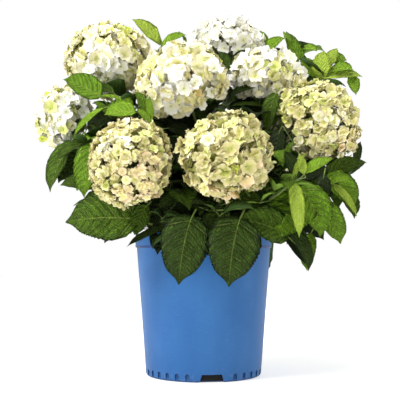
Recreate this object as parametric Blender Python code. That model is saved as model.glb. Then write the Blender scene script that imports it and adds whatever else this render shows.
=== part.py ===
"""A mophead hydrangea in its nursery pot: pot, potting mix, woody stool, canes, leafy stems and flower heads.

Metres, +Z up. The origin is the centre of the pot's flat underside, and -Y is the plant's front.
Every stem is an arc from the stool to its tip. Leaves sit on it in opposite pairs, each pair turned
a quarter round from the last. Each leaf tries its first pose, then seeded ones, until it is clear.
"""

import math
import random

import bpy
from mathutils import Vector
from mathutils.bvhtree import BVHTree

# ---- driving dimensions, metres and degrees ----------------------------------------------------
POT_HEIGHT = 0.233
RIM_HEIGHT = 0.022
RIM_RADIUS = 0.115
BODY_TOP_RADIUS = 0.1127
BASE_RADIUS = 0.0955
BASE_ROUNDING = 0.005
WALL = 0.0022
FLOOR = 0.003
POT_SIDES = 54
NOTCHES = 3
NOTCH_TURN = -82.5
NOTCH_BOTTOM, NOTCH_TOP, NOTCH_HEIGHT = 0.047, 0.031, 0.0125
SLOTS_BETWEEN = 8
SLOT_STEP = 10.6
SLOT_WIDTH, SLOT_HEIGHT, SLOT_DEPTH = 0.0070, 0.0130, 0.0011

GAP = 0.0003
SOIL_TOP = 0.204
SOIL_HUMP = 0.002
STOOL_RADIUS = 0.024
STOOL_CENTRE = SOIL_TOP + 0.010
STOOL_FLARE = 0.034
START_SPACING = 17.5
SPLAY = 1.12
LOWEST_START = 8.0

CANE_RADIUS = 0.0031
FORK_RADIUS = 0.0024
TIP_RADIUS = 0.0018
YOUNG_TIP_RADIUS = 0.0014
STALK_RADIUS = 0.0021
LEAFY_LENGTH = 0.170
LEAFY_SHARE = 0.64
RING_SPACING = 0.055
NECK = 0.018

BLOOM_FLATNESS = 0.84
CORE_SHARE = 0.78
FLORET_SHARE = 0.93
FLORETS_PER_AREA = 212.0
FLORET_RADIUS = 0.0285
LOWEST_FLORET = -0.80
HEAD_ROOM = 0.004

LEAF_LENGTH = 0.116
LEAF_WIDTH_SHARE = 0.70
LEAF_THICKNESS = 0.0016
LEAF_STATIONS = (0.17, 0.42, 0.72)
WIDEST_NEAR_BASE, WIDEST_NEAR_TIP = 0.72, 0.98
EDGE_CURL = 0.35
PAIR_SIZES = (0.76, 0.92, 1.04, 1.10)
PAIR_SPACING = 0.047
LEAF_SPREAD = 68
PETIOLE_SHARE = 0.18
PETIOLE_RISE = 12
PETIOLE_CLEAR = 0.005
PETIOLE_RADIUS = 0.0016
CLEARANCE = 0.0007
TRIES = 44
OWN_TRIES = 8
LOWEST_LEAF = 0.06

# ---- the plant ---------------------------------------------------------------------------------
# Flowering shoots: azimuth, reach and height of the head's centre, its diameter, the lift of the
# way it faces, and the azimuth of the leaf pair just under it.
FLOWERING = {
    "top_left": (170, 0.172, 0.546, 0.154, 66, 200),
    "top_mid": (65, 0.111, 0.587, 0.134, 78, 20),
    "centre_left": (-124, 0.062, 0.486, 0.158, 58, 150),
    "mid_right": (13, 0.116, 0.506, 0.132, 72, -60),
    "right": (-12, 0.196, 0.418, 0.150, 30, -100),
    "front_left": (-127, 0.186, 0.336, 0.136, 18, 190),
    "front_centre": (-78, 0.168, 0.343, 0.152, 24, 180),
    "far_left": (178, 0.241, 0.436, 0.112, 24, -110),
    "back_left": (134, 0.206, 0.398, 0.150, 26, 60),
    "back_right": (50, 0.214, 0.428, 0.146, 30, 120),
    "back_centre": (90, 0.208, 0.362, 0.154, 20, 0),
    "back_top": (115, 0.156, 0.528, 0.140, 54, 30),
}
# Leafy shoots, which rise from the stool with no head: azimuth, reach and height of the tip, its
# lift, the number of leaf pairs, their size beside LEAF_LENGTH, and the azimuth of the top pair.
LEAFY = {
    "young_top_left": (136, 0.105, 0.582, 84, 3, 0.66, 175),
    "young_top_right": (28, 0.182, 0.577, 92, 4, 0.72, 170),
    "young_far_right": (13, 0.224, 0.526, 66, 4, 0.76, 70),
    "young_right": (-48, 0.201, 0.307, 30, 2, 0.70, -78),
    "young_left": (-173, 0.167, 0.454, 60, 4, 0.72, -155),
    "side_right": (-26, 0.206, 0.297, 14, 3, 0.98, -147),
    "side_right_back": (5, 0.226, 0.318, 20, 4, 0.94, 10),
    "side_left": (-175, 0.220, 0.382, 30, 4, 0.88, -166),
    "side_left_back": (156, 0.190, 0.300, 10, 3, 1.0, 60),
    "side_back": (66, 0.205, 0.285, 10, 3, 1.0, 160),
    "side_back_left": (112, 0.200, 0.280, 10, 3, 1.0, 20),
    "skirt_front": (-86, 0.140, 0.263, -2, 3, 1.0, -152),
    "skirt_front_left": (-132, 0.142, 0.258, -4, 3, 1.0, -175),
    "skirt_front_right": (-44, 0.160, 0.246, -10, 3, 1.0, -29),
    "skirt_back_left": (142, 0.130, 0.262, 4, 3, 1.04, 50),
    "skirt_back": (88, 0.128, 0.262, 4, 3, 1.0, 10),
    "skirt_back_right": (36, 0.132, 0.262, 4, 3, 1.04, -40),
}
# Leaves with a pose of their own, by shoot, pair and side of the pair:
# azimuth, lift and droop of the midrib, length, width beside length, and roll about the midrib.
OWN_POSES = {
    ("skirt_front", 0, 0): (-152, -47, 45, 0.110, 0.70, 50),
    ("skirt_front", 0, 1): (-51, -57, 45, 0.110, 0.72, -32),
    ("skirt_front_left", 0, 0): (-176, -2, 25, 0.117, 0.74, 48),
    ("skirt_front_left", 0, 1): (-84, -27, 50, 0.072, 0.50, 0),
    ("skirt_front_left", 1, 1): (-129, -15, 40, 0.092, 0.52, -20),
    ("skirt_front_right", 0, 0): (-29, -35, 50, 0.082, 0.46, -20),
    ("skirt_front_right", 1, 1): (160, 34, 40, 0.080, 0.70, 0),
    ("skirt_front_right", 0, 1): (-160, 10, 34, 0.092, 0.78, 52),
    ("side_left", 0, 0): (-166, -43, 50, 0.082, 0.58, 10),
    ("side_left", 0, 1): (-59, -43, 50, 0.092, 0.58, -20),
    ("side_left", 1, 0): (-140, -12, 50, 0.084, 0.66, 30),
    ("side_right", 0, 0): (-147, -24, 40, 0.108, 0.76, 45),
    ("side_right", 0, 1): (-50, -45, 50, 0.088, 0.66, -30),
    ("side_right_back", 0, 0): (10, 52, 45, 0.072, 0.60, -40),
    ("side_right_back", 0, 1): (-66, -22, 50, 0.080, 0.54, 0),
    ("young_right", 0, 0): (-78, -60, 45, 0.078, 0.46, 0),
    ("young_right", 0, 1): (-10, 74, 20, 0.044, 0.50, -30),
    ("young_right", 1, 0): (-24, 40, 30, 0.080, 0.44, -50),
    ("young_right", 1, 1): (150, 55, 30, 0.056, 0.50, 30),
    ("young_left", 0, 0): (-160, 24, 30, 0.074, 0.88, 52),
    ("young_left", 0, 1): (-34, -4, 35, 0.076, 0.70, -30),
    ("young_left", 1, 0): (-143, -7, 40, 0.086, 0.54, 30),
    ("young_top_left", 0, 0): (-177, 50, 25, 0.060, 0.62, 60),
    ("young_top_left", 0, 1): (-33, 25, 40, 0.056, 0.66, -50),
    ("young_top_right", 0, 0): (-110, 41, 25, 0.046, 0.60, 40),
    ("young_top_right", 0, 1): (-34, 14, 50, 0.050, 0.66, -40),
    ("young_top_right", 1, 1): (-50, 4, 60, 0.070, 0.66, -20),
    ("young_top_right", 1, 0): (-176, 40, 40, 0.062, 0.66, 40),
    ("young_far_right", 0, 0): (20, 72, 20, 0.052, 0.66, -30),
    ("young_far_right", 0, 1): (-35, 27, 50, 0.054, 0.70, -45),
    ("young_far_right", 1, 0): (-29, 21, 75, 0.092, 0.52, -45),
}


# ---- small geometry helpers --------------------------------------------------------------------
def heading(azimuth, lift):
    """Unit vector at this azimuth from +X and this lift above the ground plane, in degrees."""
    a, e = math.radians(azimuth), math.radians(lift)
    return Vector((math.cos(a) * math.cos(e), math.sin(a) * math.cos(e), math.sin(e)))


def on_cylinder(azimuth, reach, height):
    """The point at this azimuth, distance from the plant's axis and height."""
    a = math.radians(azimuth)
    return Vector((reach * math.cos(a), reach * math.sin(a), height))


def square_to(along, near):
    """The unit vector closest to near that is square to along."""
    side = near - along * near.dot(along)
    if side.length < 1e-4:
        side = along.orthogonal()
    return side.normalized()


# ---- meshes ------------------------------------------------------------------------------------
def mesh_object(name, points, faces, material):
    """A new object in the scene from points and faces, with one material."""
    mesh = bpy.data.meshes.new(name)
    mesh.from_pydata([tuple(p) for p in points], [], faces)
    mesh.materials.append(material)
    mesh.update()
    obj = bpy.data.objects.new(name, mesh)
    bpy.context.scene.collection.objects.link(obj)
    return obj


def tube_parts(stations, radii, sides):
    """Points and faces of a closed tube: one ring for each (point, tangent) and a fan on each end."""
    points, faces = [], []
    side = square_to(stations[0][1], Vector((0.31, 0.95, 0.05)))
    for (centre, along), radius in zip(stations, radii):
        side = square_to(along, side)
        other = along.cross(side)
        for k in range(sides):
            a = 2 * math.pi * k / sides
            points.append(centre + radius * (math.cos(a) * side + math.sin(a) * other))
    for i in range(len(stations) - 1):
        for k in range(sides):
            a, b = i * sides + k, i * sides + (k + 1) % sides
            faces.append((a, b, b + sides, a + sides))
    faces.append(tuple(reversed(range(sides))))
    last = (len(stations) - 1) * sides
    faces.append(tuple(last + k for k in range(sides)))
    return points, faces


def turned(profile, sides):
    """Points and faces of a closed solid of revolution: profile runs from the axis to the axis."""
    points, faces = [], []
    first, last = Vector((0, 0, profile[0][1])), Vector((0, 0, profile[-1][1]))
    rings = profile[1:-1]
    for radius, height in rings:
        for k in range(sides):
            a = 2 * math.pi * k / sides
            points.append(Vector((radius * math.cos(a), radius * math.sin(a), height)))
    for i in range(len(rings) - 1):
        for k in range(sides):
            a, b = i * sides + k, i * sides + (k + 1) % sides
            faces.append((a, b, b + sides, a + sides))
    foot, top = len(points), len(points) + 1
    points += [first, last]
    for k in range(sides):
        nxt = (k + 1) % sides
        faces.append((foot, nxt, k))
        base = (len(rings) - 1) * sides
        faces.append((top, base + k, base + nxt))
    return points, faces


def combine(obj, pieces, operation):
    """Unites obj with the pieces, or cuts them out of it, by one Boolean that is then applied."""
    group = bpy.data.collections.new("pieces")
    bpy.context.scene.collection.children.link(group)
    for piece in pieces:
        bpy.context.scene.collection.objects.unlink(piece)
        group.objects.link(piece)
    modifier = obj.modifiers.new("combine", "BOOLEAN")
    modifier.operation, modifier.operand_type = operation, "COLLECTION"
    modifier.collection, modifier.solver = group, "EXACT"
    graph = bpy.context.evaluated_depsgraph_get()
    made = bpy.data.meshes.new_from_object(obj.evaluated_get(graph))
    obj.modifiers.clear()
    obj.data = made
    for piece in pieces:
        bpy.data.objects.remove(piece)
    bpy.data.collections.remove(group)


def joined(name, parts, material):
    """One solid from closed parts that run into each other."""
    base = mesh_object(name, *parts[0], material)
    combine(base, [mesh_object("piece", *part, material) for part in parts[1:]], "UNION")
    return base


def shaded_smooth(obj, angle=40):
    """Shades a round piece smooth, with its edges sharper than angle left sharp."""
    obj.data.shade_smooth()
    obj.data.set_sharp_from_angle(angle=math.radians(angle))
    return obj


def finish(name, colour, roughness):
    """A Principled material."""
    material = bpy.data.materials.new(name)
    material.use_nodes = True
    shader = material.node_tree.nodes["Principled BSDF"]
    shader.inputs["Base Color"].default_value = (*colour, 1)
    shader.inputs["Roughness"].default_value = roughness
    return material


# ---- pot, potting mix and stool ----------------------------------------------------------------
def wall_radius(height):
    """Outer radius of the pot's tapered body at this height."""
    share = height / (POT_HEIGHT - RIM_HEIGHT)
    return BASE_RADIUS + (BODY_TOP_RADIUS - BASE_RADIUS) * share


def build_pot(material):
    """Tapered body, rolled rim and flat floor, with notches in the foot and shallow slots round it."""
    neck = POT_HEIGHT - RIM_HEIGHT
    profile = [
        (0, 0),
        (BASE_RADIUS - BASE_ROUNDING, 0),
        (BASE_RADIUS - 0.3 * BASE_ROUNDING, 0.3 * BASE_ROUNDING),
        (wall_radius(BASE_ROUNDING), BASE_ROUNDING),
        (wall_radius(neck), neck),
        (RIM_RADIUS, neck + 0.0006),
        (RIM_RADIUS, POT_HEIGHT - 0.0015),
        (RIM_RADIUS - 0.0012, POT_HEIGHT),
        (RIM_RADIUS - WALL - 0.001, POT_HEIGHT),
        (wall_radius(neck) - WALL, neck - 0.004),
        (wall_radius(FLOOR) - WALL, FLOOR),
        (0, FLOOR),
    ]
    pot = mesh_object("pot", *turned(profile, POT_SIDES), material)
    half, arch = SLOT_WIDTH / 2, 0.25 * SLOT_HEIGHT
    slot = [(-half, -0.002), (half, -0.002), (half, SLOT_HEIGHT - arch)]
    slot += [(0, SLOT_HEIGHT), (-half, SLOT_HEIGHT - arch)]
    cutters = []
    for n in range(NOTCHES):
        turn = NOTCH_TURN + 360 / NOTCHES * n
        near, far = 0.88 * BASE_RADIUS, 1.1 * BASE_RADIUS
        corners = [(-NOTCH_BOTTOM, -NOTCH_HEIGHT), (NOTCH_BOTTOM, -NOTCH_HEIGHT)]
        corners += [(NOTCH_TOP, NOTCH_HEIGHT), (-NOTCH_TOP, NOTCH_HEIGHT)]
        outline = [(x / 2, z) for x, z in corners]
        cutters.append(foot_cutter(turn, outline, near, far, material))
        for k in range(SLOTS_BETWEEN):
            angle = turn + 180 / NOTCHES + SLOT_STEP * (k - (SLOTS_BETWEEN - 1) / 2)
            near, far = BASE_RADIUS - SLOT_DEPTH, BASE_RADIUS + 0.01
            cutters.append(foot_cutter(angle, slot, near, far, material))
    combine(pot, cutters, "DIFFERENCE")
    return shaded_smooth(pot)


def foot_cutter(angle, outline, near, far, material):
    """A prism with this outline (across, up), from near to far of the pot's axis at this angle."""
    out = heading(angle, 0)
    side, up = Vector((-out.y, out.x, 0)), Vector((0, 0, 1))
    points = [out * d + side * x + up * z for d in (far, near) for x, z in outline]
    count = len(outline)
    faces = [tuple(range(count)), tuple(reversed(range(count, 2 * count)))]
    for k in range(count):
        nxt = (k + 1) % count
        faces.append((nxt, k, k + count, nxt + count))
    return mesh_object("foot_cutter", points, faces, material)


def build_soil(material):
    """Potting mix that fills the pot, GAP clear of it, with a flat seat under the stool."""
    low = FLOOR + GAP
    profile = [
        (0, low),
        (wall_radius(low) - WALL - 2 * GAP, low),
        (wall_radius(SOIL_TOP) - WALL - 2 * GAP, SOIL_TOP - SOIL_HUMP),
        (0.6 * BODY_TOP_RADIUS, SOIL_TOP + SOIL_HUMP),
        (STOOL_FLARE + 0.004, SOIL_TOP),
        (0, SOIL_TOP),
    ]
    return shaded_smooth(mesh_object("potting_mix", *turned(profile, 30), material))


def build_stool(material):
    """The woody stool: a flat cut GAP above the mix, a flare, and a dome that the canes stand on."""
    foot = SOIL_TOP + GAP
    profile = [(0, foot), (STOOL_FLARE, foot), (STOOL_FLARE - 0.004, foot + 0.003)]
    for lift in (-4, 20, 44, 68):
        a = math.radians(lift)
        profile.append((STOOL_RADIUS * math.cos(a), STOOL_CENTRE + STOOL_RADIUS * math.sin(a)))
    profile.append((0, STOOL_CENTRE + STOOL_RADIUS))
    return shaded_smooth(mesh_object("stool", *turned(profile, 16), material), 60)


# ---- stems -------------------------------------------------------------------------------------
def head_place(name):
    """The centre of a shoot's flower head, and the way it faces."""
    azimuth, reach, height, _, lift, _ = FLOWERING[name]
    return on_cylinder(azimuth, reach, height), heading(azimuth, lift)


def stem_tip(name):
    """Where a shoot's stem ends, and the way it points there."""
    if name in LEAFY:
        azimuth, reach, height, lift = LEAFY[name][:4]
        return on_cylinder(azimuth, reach, height), heading(azimuth, lift)
    centre, axis = head_place(name)
    return centre - (0.5 * BLOOM_FLATNESS * FLOWERING[name][3] + NECK) * axis, axis


def start_ways():
    """The way each stem leaves the dome: more splayed than the way to its tip, and none crowded."""
    ways = {}
    for name in [*FLOWERING, *LEAFY]:
        away = stem_tip(name)[0] - Vector((0, 0, STOOL_CENTRE))
        azimuth = math.degrees(math.atan2(away.y, away.x))
        lean = 90 - math.degrees(math.atan2(away.z, math.hypot(away.x, away.y)))
        ways[name] = heading(azimuth, max(LOWEST_START, 90 - SPLAY * lean))
    names, wanted = list(ways), math.radians(START_SPACING)
    for _ in range(150):
        for i, one in enumerate(names):
            for two in names[i + 1:]:
                lack = wanted - ways[one].angle(ways[two])
                if lack > 0:
                    push = 0.25 * lack * (ways[one] - ways[two]).normalized()
                    ways[one], ways[two] = (ways[one] + push).normalized(), (ways[two] - push).normalized()
        for name, way in ways.items():
            way.z = max(way.z, math.sin(math.radians(LOWEST_START)))
            ways[name] = way.normalized()
    return ways


class Stem:
    """One shoot's stem: an arc that leaves square to the stool's dome and ends at its tip.

    A flowering shoot's stem is a bare cane up to its fork, and leafy twig from there to its tip.
    """

    def __init__(self, name, start_way):
        self.name = name
        tip, tip_way = stem_tip(name)
        start = Vector((0, 0, STOOL_CENTRE)) + start_way * (STOOL_RADIUS + GAP)
        bow = 0.38 * (tip - start).length
        self.ends = start, start + bow * start_way, tip - bow * tip_way, tip
        marks = [point for point, _ in self.run(0, 1, 33)]
        self.length = sum((b - a).length for a, b in zip(marks, marks[1:]))
        if name in FLOWERING:
            self.fork = 1 - min(LEAFY_LENGTH / self.length, LEAFY_SHARE)
            turn, sizes = FLOWERING[name][5], PAIR_SIZES
        else:
            self.fork, turn = 0.0, LEAFY[name][6]
            sizes = [LEAFY[name][5] * (0.84 + 0.12 * k) for k in range(LEAFY[name][4])]
        spacing = PAIR_SPACING * min(1, sizes[0])
        self.pairs = []
        for k, size in enumerate(sizes):
            share = 1 - (0.003 + spacing * k) / self.length
            if share > self.fork + 0.02:
                self.pairs.append((share, turn + 90 * k, LEAF_LENGTH * size))

    def at(self, t):
        """Point and unit tangent at share t of the arc, a cubic through its control points."""
        p0, p1, p2, p3 = self.ends
        s = 1 - t
        point = s**3 * p0 + 3 * s * s * t * p1 + 3 * s * t * t * p2 + t**3 * p3
        along = s * s * (p1 - p0) + 2 * s * t * (p2 - p1) + t * t * (p3 - p2)
        return point, along.normalized()

    def run(self, low, high, count):
        """Points and tangents at count even shares from low to high."""
        return [self.at(low + (high - low) * i / (count - 1)) for i in range(count)]

    def cane(self):
        """The bare cane below the fork."""
        radii = [CANE_RADIUS + (FORK_RADIUS - CANE_RADIUS) * i / 4 for i in range(5)]
        return tube_parts(self.run(0, self.fork, 5), radii, 5)

    def twig(self):
        """The leafy part: from GAP above the fork, or from the stool, to the tip, a ring at each pair."""
        low = self.fork + GAP / self.length if self.fork else 0.0
        end = TIP_RADIUS if self.fork else YOUNG_TIP_RADIUS
        joints = sorted(share for share, _, _ in self.pairs)
        steps = max(1, round((joints[0] - low) * self.length / RING_SPACING))
        shares = [low + (joints[0] - low) * i / steps for i in range(steps)] + joints + [1]
        radii = [FORK_RADIUS + (end - FORK_RADIUS) * (t - low) / (1 - low) for t in shares]
        return tube_parts([self.at(t) for t in shares], radii, 3)


# ---- leaves ------------------------------------------------------------------------------------
def half_width(u):
    """Half width of a leaf of width 1 at this share of its length: an ovate outline with a point."""
    a, b = WIDEST_NEAR_BASE, WIDEST_NEAR_TIP
    peak = (a / (a + b)) ** a * (b / (a + b)) ** b
    return 0.5 * u**a * (1 - u) ** b / peak


class Leaf:
    """One leaf: a petiole from the stem's middle, then a blade whose midrib is an arc that droops."""

    def __init__(self, root, azimuth, lift, droop, length, width, roll, fold):
        self.root, self.length, self.width = root, length, width
        self.lift, self.droop = math.radians(lift), math.radians(max(droop, 1.0))
        self.roll, self.fold = math.radians(roll), math.radians(fold)
        self.out = heading(azimuth, 0)
        self.base = root + PETIOLE_SHARE * length * heading(azimuth, min(lift + PETIOLE_RISE, 62))

    def frame(self, u):
        """Point on the midrib, and the unit side and normal there."""
        dip = self.lift - self.droop * u
        along = (math.sin(self.lift) - math.sin(dip)) / self.droop
        rise = (math.cos(dip) - math.cos(self.lift)) / self.droop
        point = self.base + self.length * Vector((along * self.out.x, along * self.out.y, rise))
        side = Vector((self.out.y, -self.out.x, 0))
        normal = Vector((0, 0, math.cos(dip))) - math.sin(dip) * self.out
        c, s = math.cos(self.roll), math.sin(self.roll)
        return point, c * side + s * normal, c * normal - s * side

    def point(self, u, v):
        """Point of the upper face: u along the midrib, v from -1 to 1 across it."""
        middle, side, normal = self.frame(u)
        across = v * self.width * half_width(u)
        rise = abs(across) * (1 - EDGE_CURL * abs(v)) * math.sin(self.fold)
        return middle + across * math.cos(self.fold) * side + rise * normal

    def solid(self, begin=0.0, grow=0.0):
        """Points and faces of the closed leaf: a three-sided petiole and a blade thickest at its rib.

        For a test of its room, the petiole begins at a share of its length and the leaf is grown.
        """
        _, side, normal = self.frame(0)
        r = PETIOLE_RADIUS + grow
        points = []
        for middle in (self.root.lerp(self.base, begin), self.base):
            points += [middle - r * side, middle + r * side, middle - 1.6 * r * normal]
        for u in LEAF_STATIONS:
            middle, side, normal = self.frame(u)
            below = middle - (LEAF_THICKNESS + grow) * normal
            points += [self.point(u, -1) - grow * side, middle + grow * normal]
            points += [self.point(u, 1) + grow * side, below]
        points.append(self.frame(1)[0])
        faces = [(2, 1, 0), (1, 4, 3, 0), (2, 5, 4, 1), (0, 3, 5, 2)]
        faces += [(7, 6, 3), (4, 7, 3), (8, 7, 4), (9, 5, 3), (6, 9, 3), (9, 4, 5), (9, 8, 4)]
        for a in range(6, len(points) - 5, 4):
            b = a + 4
            faces += [(a + 1, b + 1, b, a), (a + 2, b + 2, b + 1, a + 1)]
            faces += [(b, b + 3, a + 3, a), (b + 3, b + 2, a + 2, a + 3)]
        a, tip = len(points) - 5, len(points) - 1
        faces += [(a + 1, tip, a), (a + 2, tip, a + 1), (tip, a + 3, a), (tip, a + 2, a + 3)]
        return points, faces


def leaf_tries(stem, pair, side):
    """The poses a leaf tries, in order: the rule's own first, then seeded ones that swing from it."""
    share, turn, length = stem.pairs[pair]
    root, along = stem.at(share)
    rng = random.Random(f"{stem.name} {pair} {side}")
    outward = square_to(along, heading(turn + 180 * side, 0))
    spread = math.radians(LEAF_SPREAD)
    way = (math.sin(spread) * outward + math.cos(spread) * along).normalized()
    azimuth = math.degrees(math.atan2(way.y, way.x))
    lift = min(40.0, max(-30.0, math.degrees(math.asin(way.z)) - 8))
    own = OWN_POSES.get((stem.name, pair, side))
    for k in range(TRIES):
        swing, tilt, flip = rng.uniform(-1, 1), rng.uniform(-1, 1), rng.uniform(-1, 1)
        size = length * (1 - 0.3 * k / TRIES) * rng.uniform(0.95, 1.05)
        droop, fold, wide = rng.uniform(30, 65), rng.uniform(10, 24), rng.uniform(0.93, 1.06)
        if own and k < OWN_TRIES:
            turn, rise, droop, size, share, roll = own
            size *= 1 - 0.03 * k
            yield Leaf(root, turn + 2.5 * k * swing, rise + 2.5 * k * tilt, droop, size,
                       size * share, roll + 3 * k * flip, fold / 2)
            continue
        turn, rise = azimuth + min(8 * k, 75) * swing, lift + min(6 * k, 45) * tilt
        yield Leaf(root, turn, max(rise, -70), droop, size, size * LEAF_WIDTH_SHARE * wide, 18 * flip, fold)


# ---- flower heads ------------------------------------------------------------------------------
def head_radius(diameter, axis_share):
    """Distance from a head's centre to its surface, where axis_share is the cosine to its axis."""
    across = diameter / 2
    return 1 / math.sqrt((axis_share / (BLOOM_FLATNESS * across)) ** 2 + (1 - axis_share**2) / across**2)


def head_point(name, way, share):
    """Point at share of the head's radius along a way given in the head's own frame, and the way."""
    centre, axis = head_place(name)
    side = square_to(axis, Vector((0.2, 0.1, 1)))
    out = way[0] * side + way[1] * axis.cross(side) + way[2] * axis
    return centre + share * head_radius(FLOWERING[name][3], way[2]) * out, out


def spiral(count, floor):
    """Even unit ways on a sphere, down to a height of floor, by the golden angle."""
    for i in range(count):
        z = 1 - (1 - floor) * (i + 0.5) / count
        a, r = i * math.pi * (3 - math.sqrt(5)), math.sqrt(1 - z * z)
        yield r * math.cos(a), r * math.sin(a), z


def head_core(name, rows=4, sides=8):
    """The closed faceted core of a head, CORE_SHARE of its size."""
    ways = []
    for i in range(1, rows):
        z, r = math.cos(math.pi * i / rows), math.sin(math.pi * i / rows)
        turns = [2 * math.pi * (k + 0.5 * (i % 2)) / sides for k in range(sides)]
        ways += [(r * math.cos(a), r * math.sin(a), z) for a in turns]
    points = [head_point(name, way, CORE_SHARE)[0] for way in [*ways, (0, 0, 1), (0, 0, -1)]]
    top, foot = len(ways), len(ways) + 1
    faces = []
    for k in range(sides):
        nxt = (k + 1) % sides
        faces += [(top, k, nxt), (foot, nxt + (rows - 2) * sides, k + (rows - 2) * sides)]
        for i in range(rows - 2):
            a, b = i * sides + k, i * sides + nxt
            c, d = a + sides, b + sides
            faces += [(a, c, d), (a, d, b)] if i % 2 == 0 else [(a, c, b), (b, c, d)]
    return points, faces


def floret(point, way, radius, turn, depth):
    """A four-sepalled floret as one wedge: four tips, a dished middle, and a foot deep in the core."""
    side = square_to(way, Vector((math.cos(turn), math.sin(turn), 0.3)))
    other = way.cross(side)
    quarters = [math.pi / 2 * k for k in range(4)]
    points = [point + radius * (math.cos(a) * side + math.sin(a) * other) for a in quarters]
    points += [point - 0.16 * radius * way, point - depth * way]
    faces = [(k, (k + 1) % 4, 4) for k in range(4)] + [((k + 1) % 4, k, 5) for k in range(4)]
    return points, faces


def build_head(name, material):
    """A flower head: a core on its stalk, and florets that stand out of the core."""
    centre, axis = head_place(name)
    diameter = FLOWERING[name][3]
    foot = stem_tip(name)[0] + GAP * axis
    rings = [(foot, axis), (foot.lerp(centre, 0.6), axis)]
    parts = [head_core(name), tube_parts(rings, [STALK_RADIUS, 2 * STALK_RADIUS], 5)]
    rng = random.Random("head " + name)
    count = round(FLORETS_PER_AREA * math.pi * diameter**2)
    for way in spiral(count, LOWEST_FLORET):
        point, out = head_point(name, way, FLORET_SHARE)
        radius = FLORET_RADIUS * rng.uniform(0.9, 1.1)
        turn = rng.uniform(0, math.pi)
        parts.append(floret(point, out, radius, turn, 0.6 * (point - centre).length))
    return joined("head_" + name, parts, material)


# ---- keeping clear -----------------------------------------------------------------------------
def bounds(points):
    """Lowest and highest corner of a set of points."""
    return [min(p[i] for p in points) for i in range(3)], [max(p[i] for p in points) for i in range(3)]


class Space:
    """What is already placed. A new leaf has to stay clear of all of it."""

    def __init__(self):
        self.placed = []

    def add(self, points, faces):
        """Adds a mesh's surface."""
        tree = BVHTree.FromPolygons([tuple(p) for p in points], faces)
        self.placed.append((*bounds(points), tree))

    def in_head(self, point):
        """True if the point is inside a flower head or within HEAD_ROOM of it."""
        for name, row in FLOWERING.items():
            centre, axis = head_place(name)
            away = point - centre
            if away.length < row[3] / 2 + HEAD_ROOM:
                cosine = away.dot(axis) / max(away.length, 1e-6)
                if away.length < head_radius(row[3], cosine) + HEAD_ROOM:
                    return True
        return False

    def takes(self, leaf):
        """True if the leaf, grown by CLEARANCE, is clear of everything."""
        begin = PETIOLE_CLEAR / (PETIOLE_SHARE * leaf.length)
        points, faces = leaf.solid(begin, CLEARANCE)
        blade = [leaf.point(u, v) for u in (0.3, 0.57, 0.86) for v in (-0.6, 0, 0.6)]
        if min(p.z for p in points) < LOWEST_LEAF or any(self.in_head(p) for p in points + blade):
            return False
        low, high = bounds(points)
        tree = BVHTree.FromPolygons([tuple(p) for p in points], faces)
        for other_low, other_high, other in self.placed:
            apart = any(low[i] > other_high[i] or high[i] < other_low[i] for i in range(3))
            if not apart and tree.overlap(other):
                return False
        return True


# ---- the whole plant ---------------------------------------------------------------------------
def grow_leaves(stems, space):
    """Each shoot's leaves that are clear of everything placed before them, those with own poses first."""
    places = [(name, pair, side) for name in [*LEAFY, *FLOWERING] for side in (0, 1)
              for pair in range(len(stems[name].pairs))]
    places.sort(key=lambda place: (place not in OWN_POSES, place[1]))
    leaves = {name: [] for name in stems}
    for name, pair, side in places:
        tries = leaf_tries(stems[name], pair, side)
        kept = next((leaf for leaf in tries if space.takes(leaf)), None)
        if kept:
            leaves[name].append(kept)
            space.add(*kept.solid())
    return leaves


def main():
    for obj in list(bpy.data.objects):
        bpy.data.objects.remove(obj)
    blue = finish("moulded_blue", (0.09, 0.26, 0.60), 0.45)
    earth = finish("potting_mix", (0.035, 0.022, 0.014), 0.95)
    bark = finish("cane_bark", (0.20, 0.13, 0.07), 0.85)
    green = finish("leaf_green", (0.075, 0.19, 0.035), 0.5)
    lime = finish("young_leaf_green", (0.22, 0.42, 0.05), 0.5)
    cream = finish("sepal_cream", (0.78, 0.76, 0.55), 0.6)

    space = Space()
    for obj in (build_pot(blue), build_soil(earth), build_stool(bark)):
        space.add([v.co.copy() for v in obj.data.vertices], [tuple(p.vertices) for p in obj.data.polygons])

    stems = {name: Stem(name, way) for name, way in start_ways().items()}
    for name, stem in stems.items():
        space.add(*stem.twig())
        if name in FLOWERING:
            space.add(*stem.cane())
            shaded_smooth(mesh_object("cane_" + name, *stem.cane(), bark), 70)
            build_head(name, cream)

    for name, leaves in grow_leaves(stems, space).items():
        parts = [stems[name].twig()] + [leaf.solid() for leaf in leaves]
        joined("leaves_" + name, parts, lime if name.startswith("young") else green)


main()
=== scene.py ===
"""A mophead hydrangea in its nursery pot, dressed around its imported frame.

Metres, +Z up. The origin is the centre of the pot's flat underside, and -Y is the plant's front.
The frame's rule is repeated here: every stem is an arc from the stool to its tip, leaves sit on it
in opposite pairs, and a flower head is a spiral of florets. The leaves that the frame kept are
found again by their tips, and the places it skipped get smaller leaves where there is most room.
Leaves that show clearly sit on twigs of their own, and side shoots carry many finer twigs and
leaves within the same reach.
"""

import itertools
import math
import random

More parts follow.
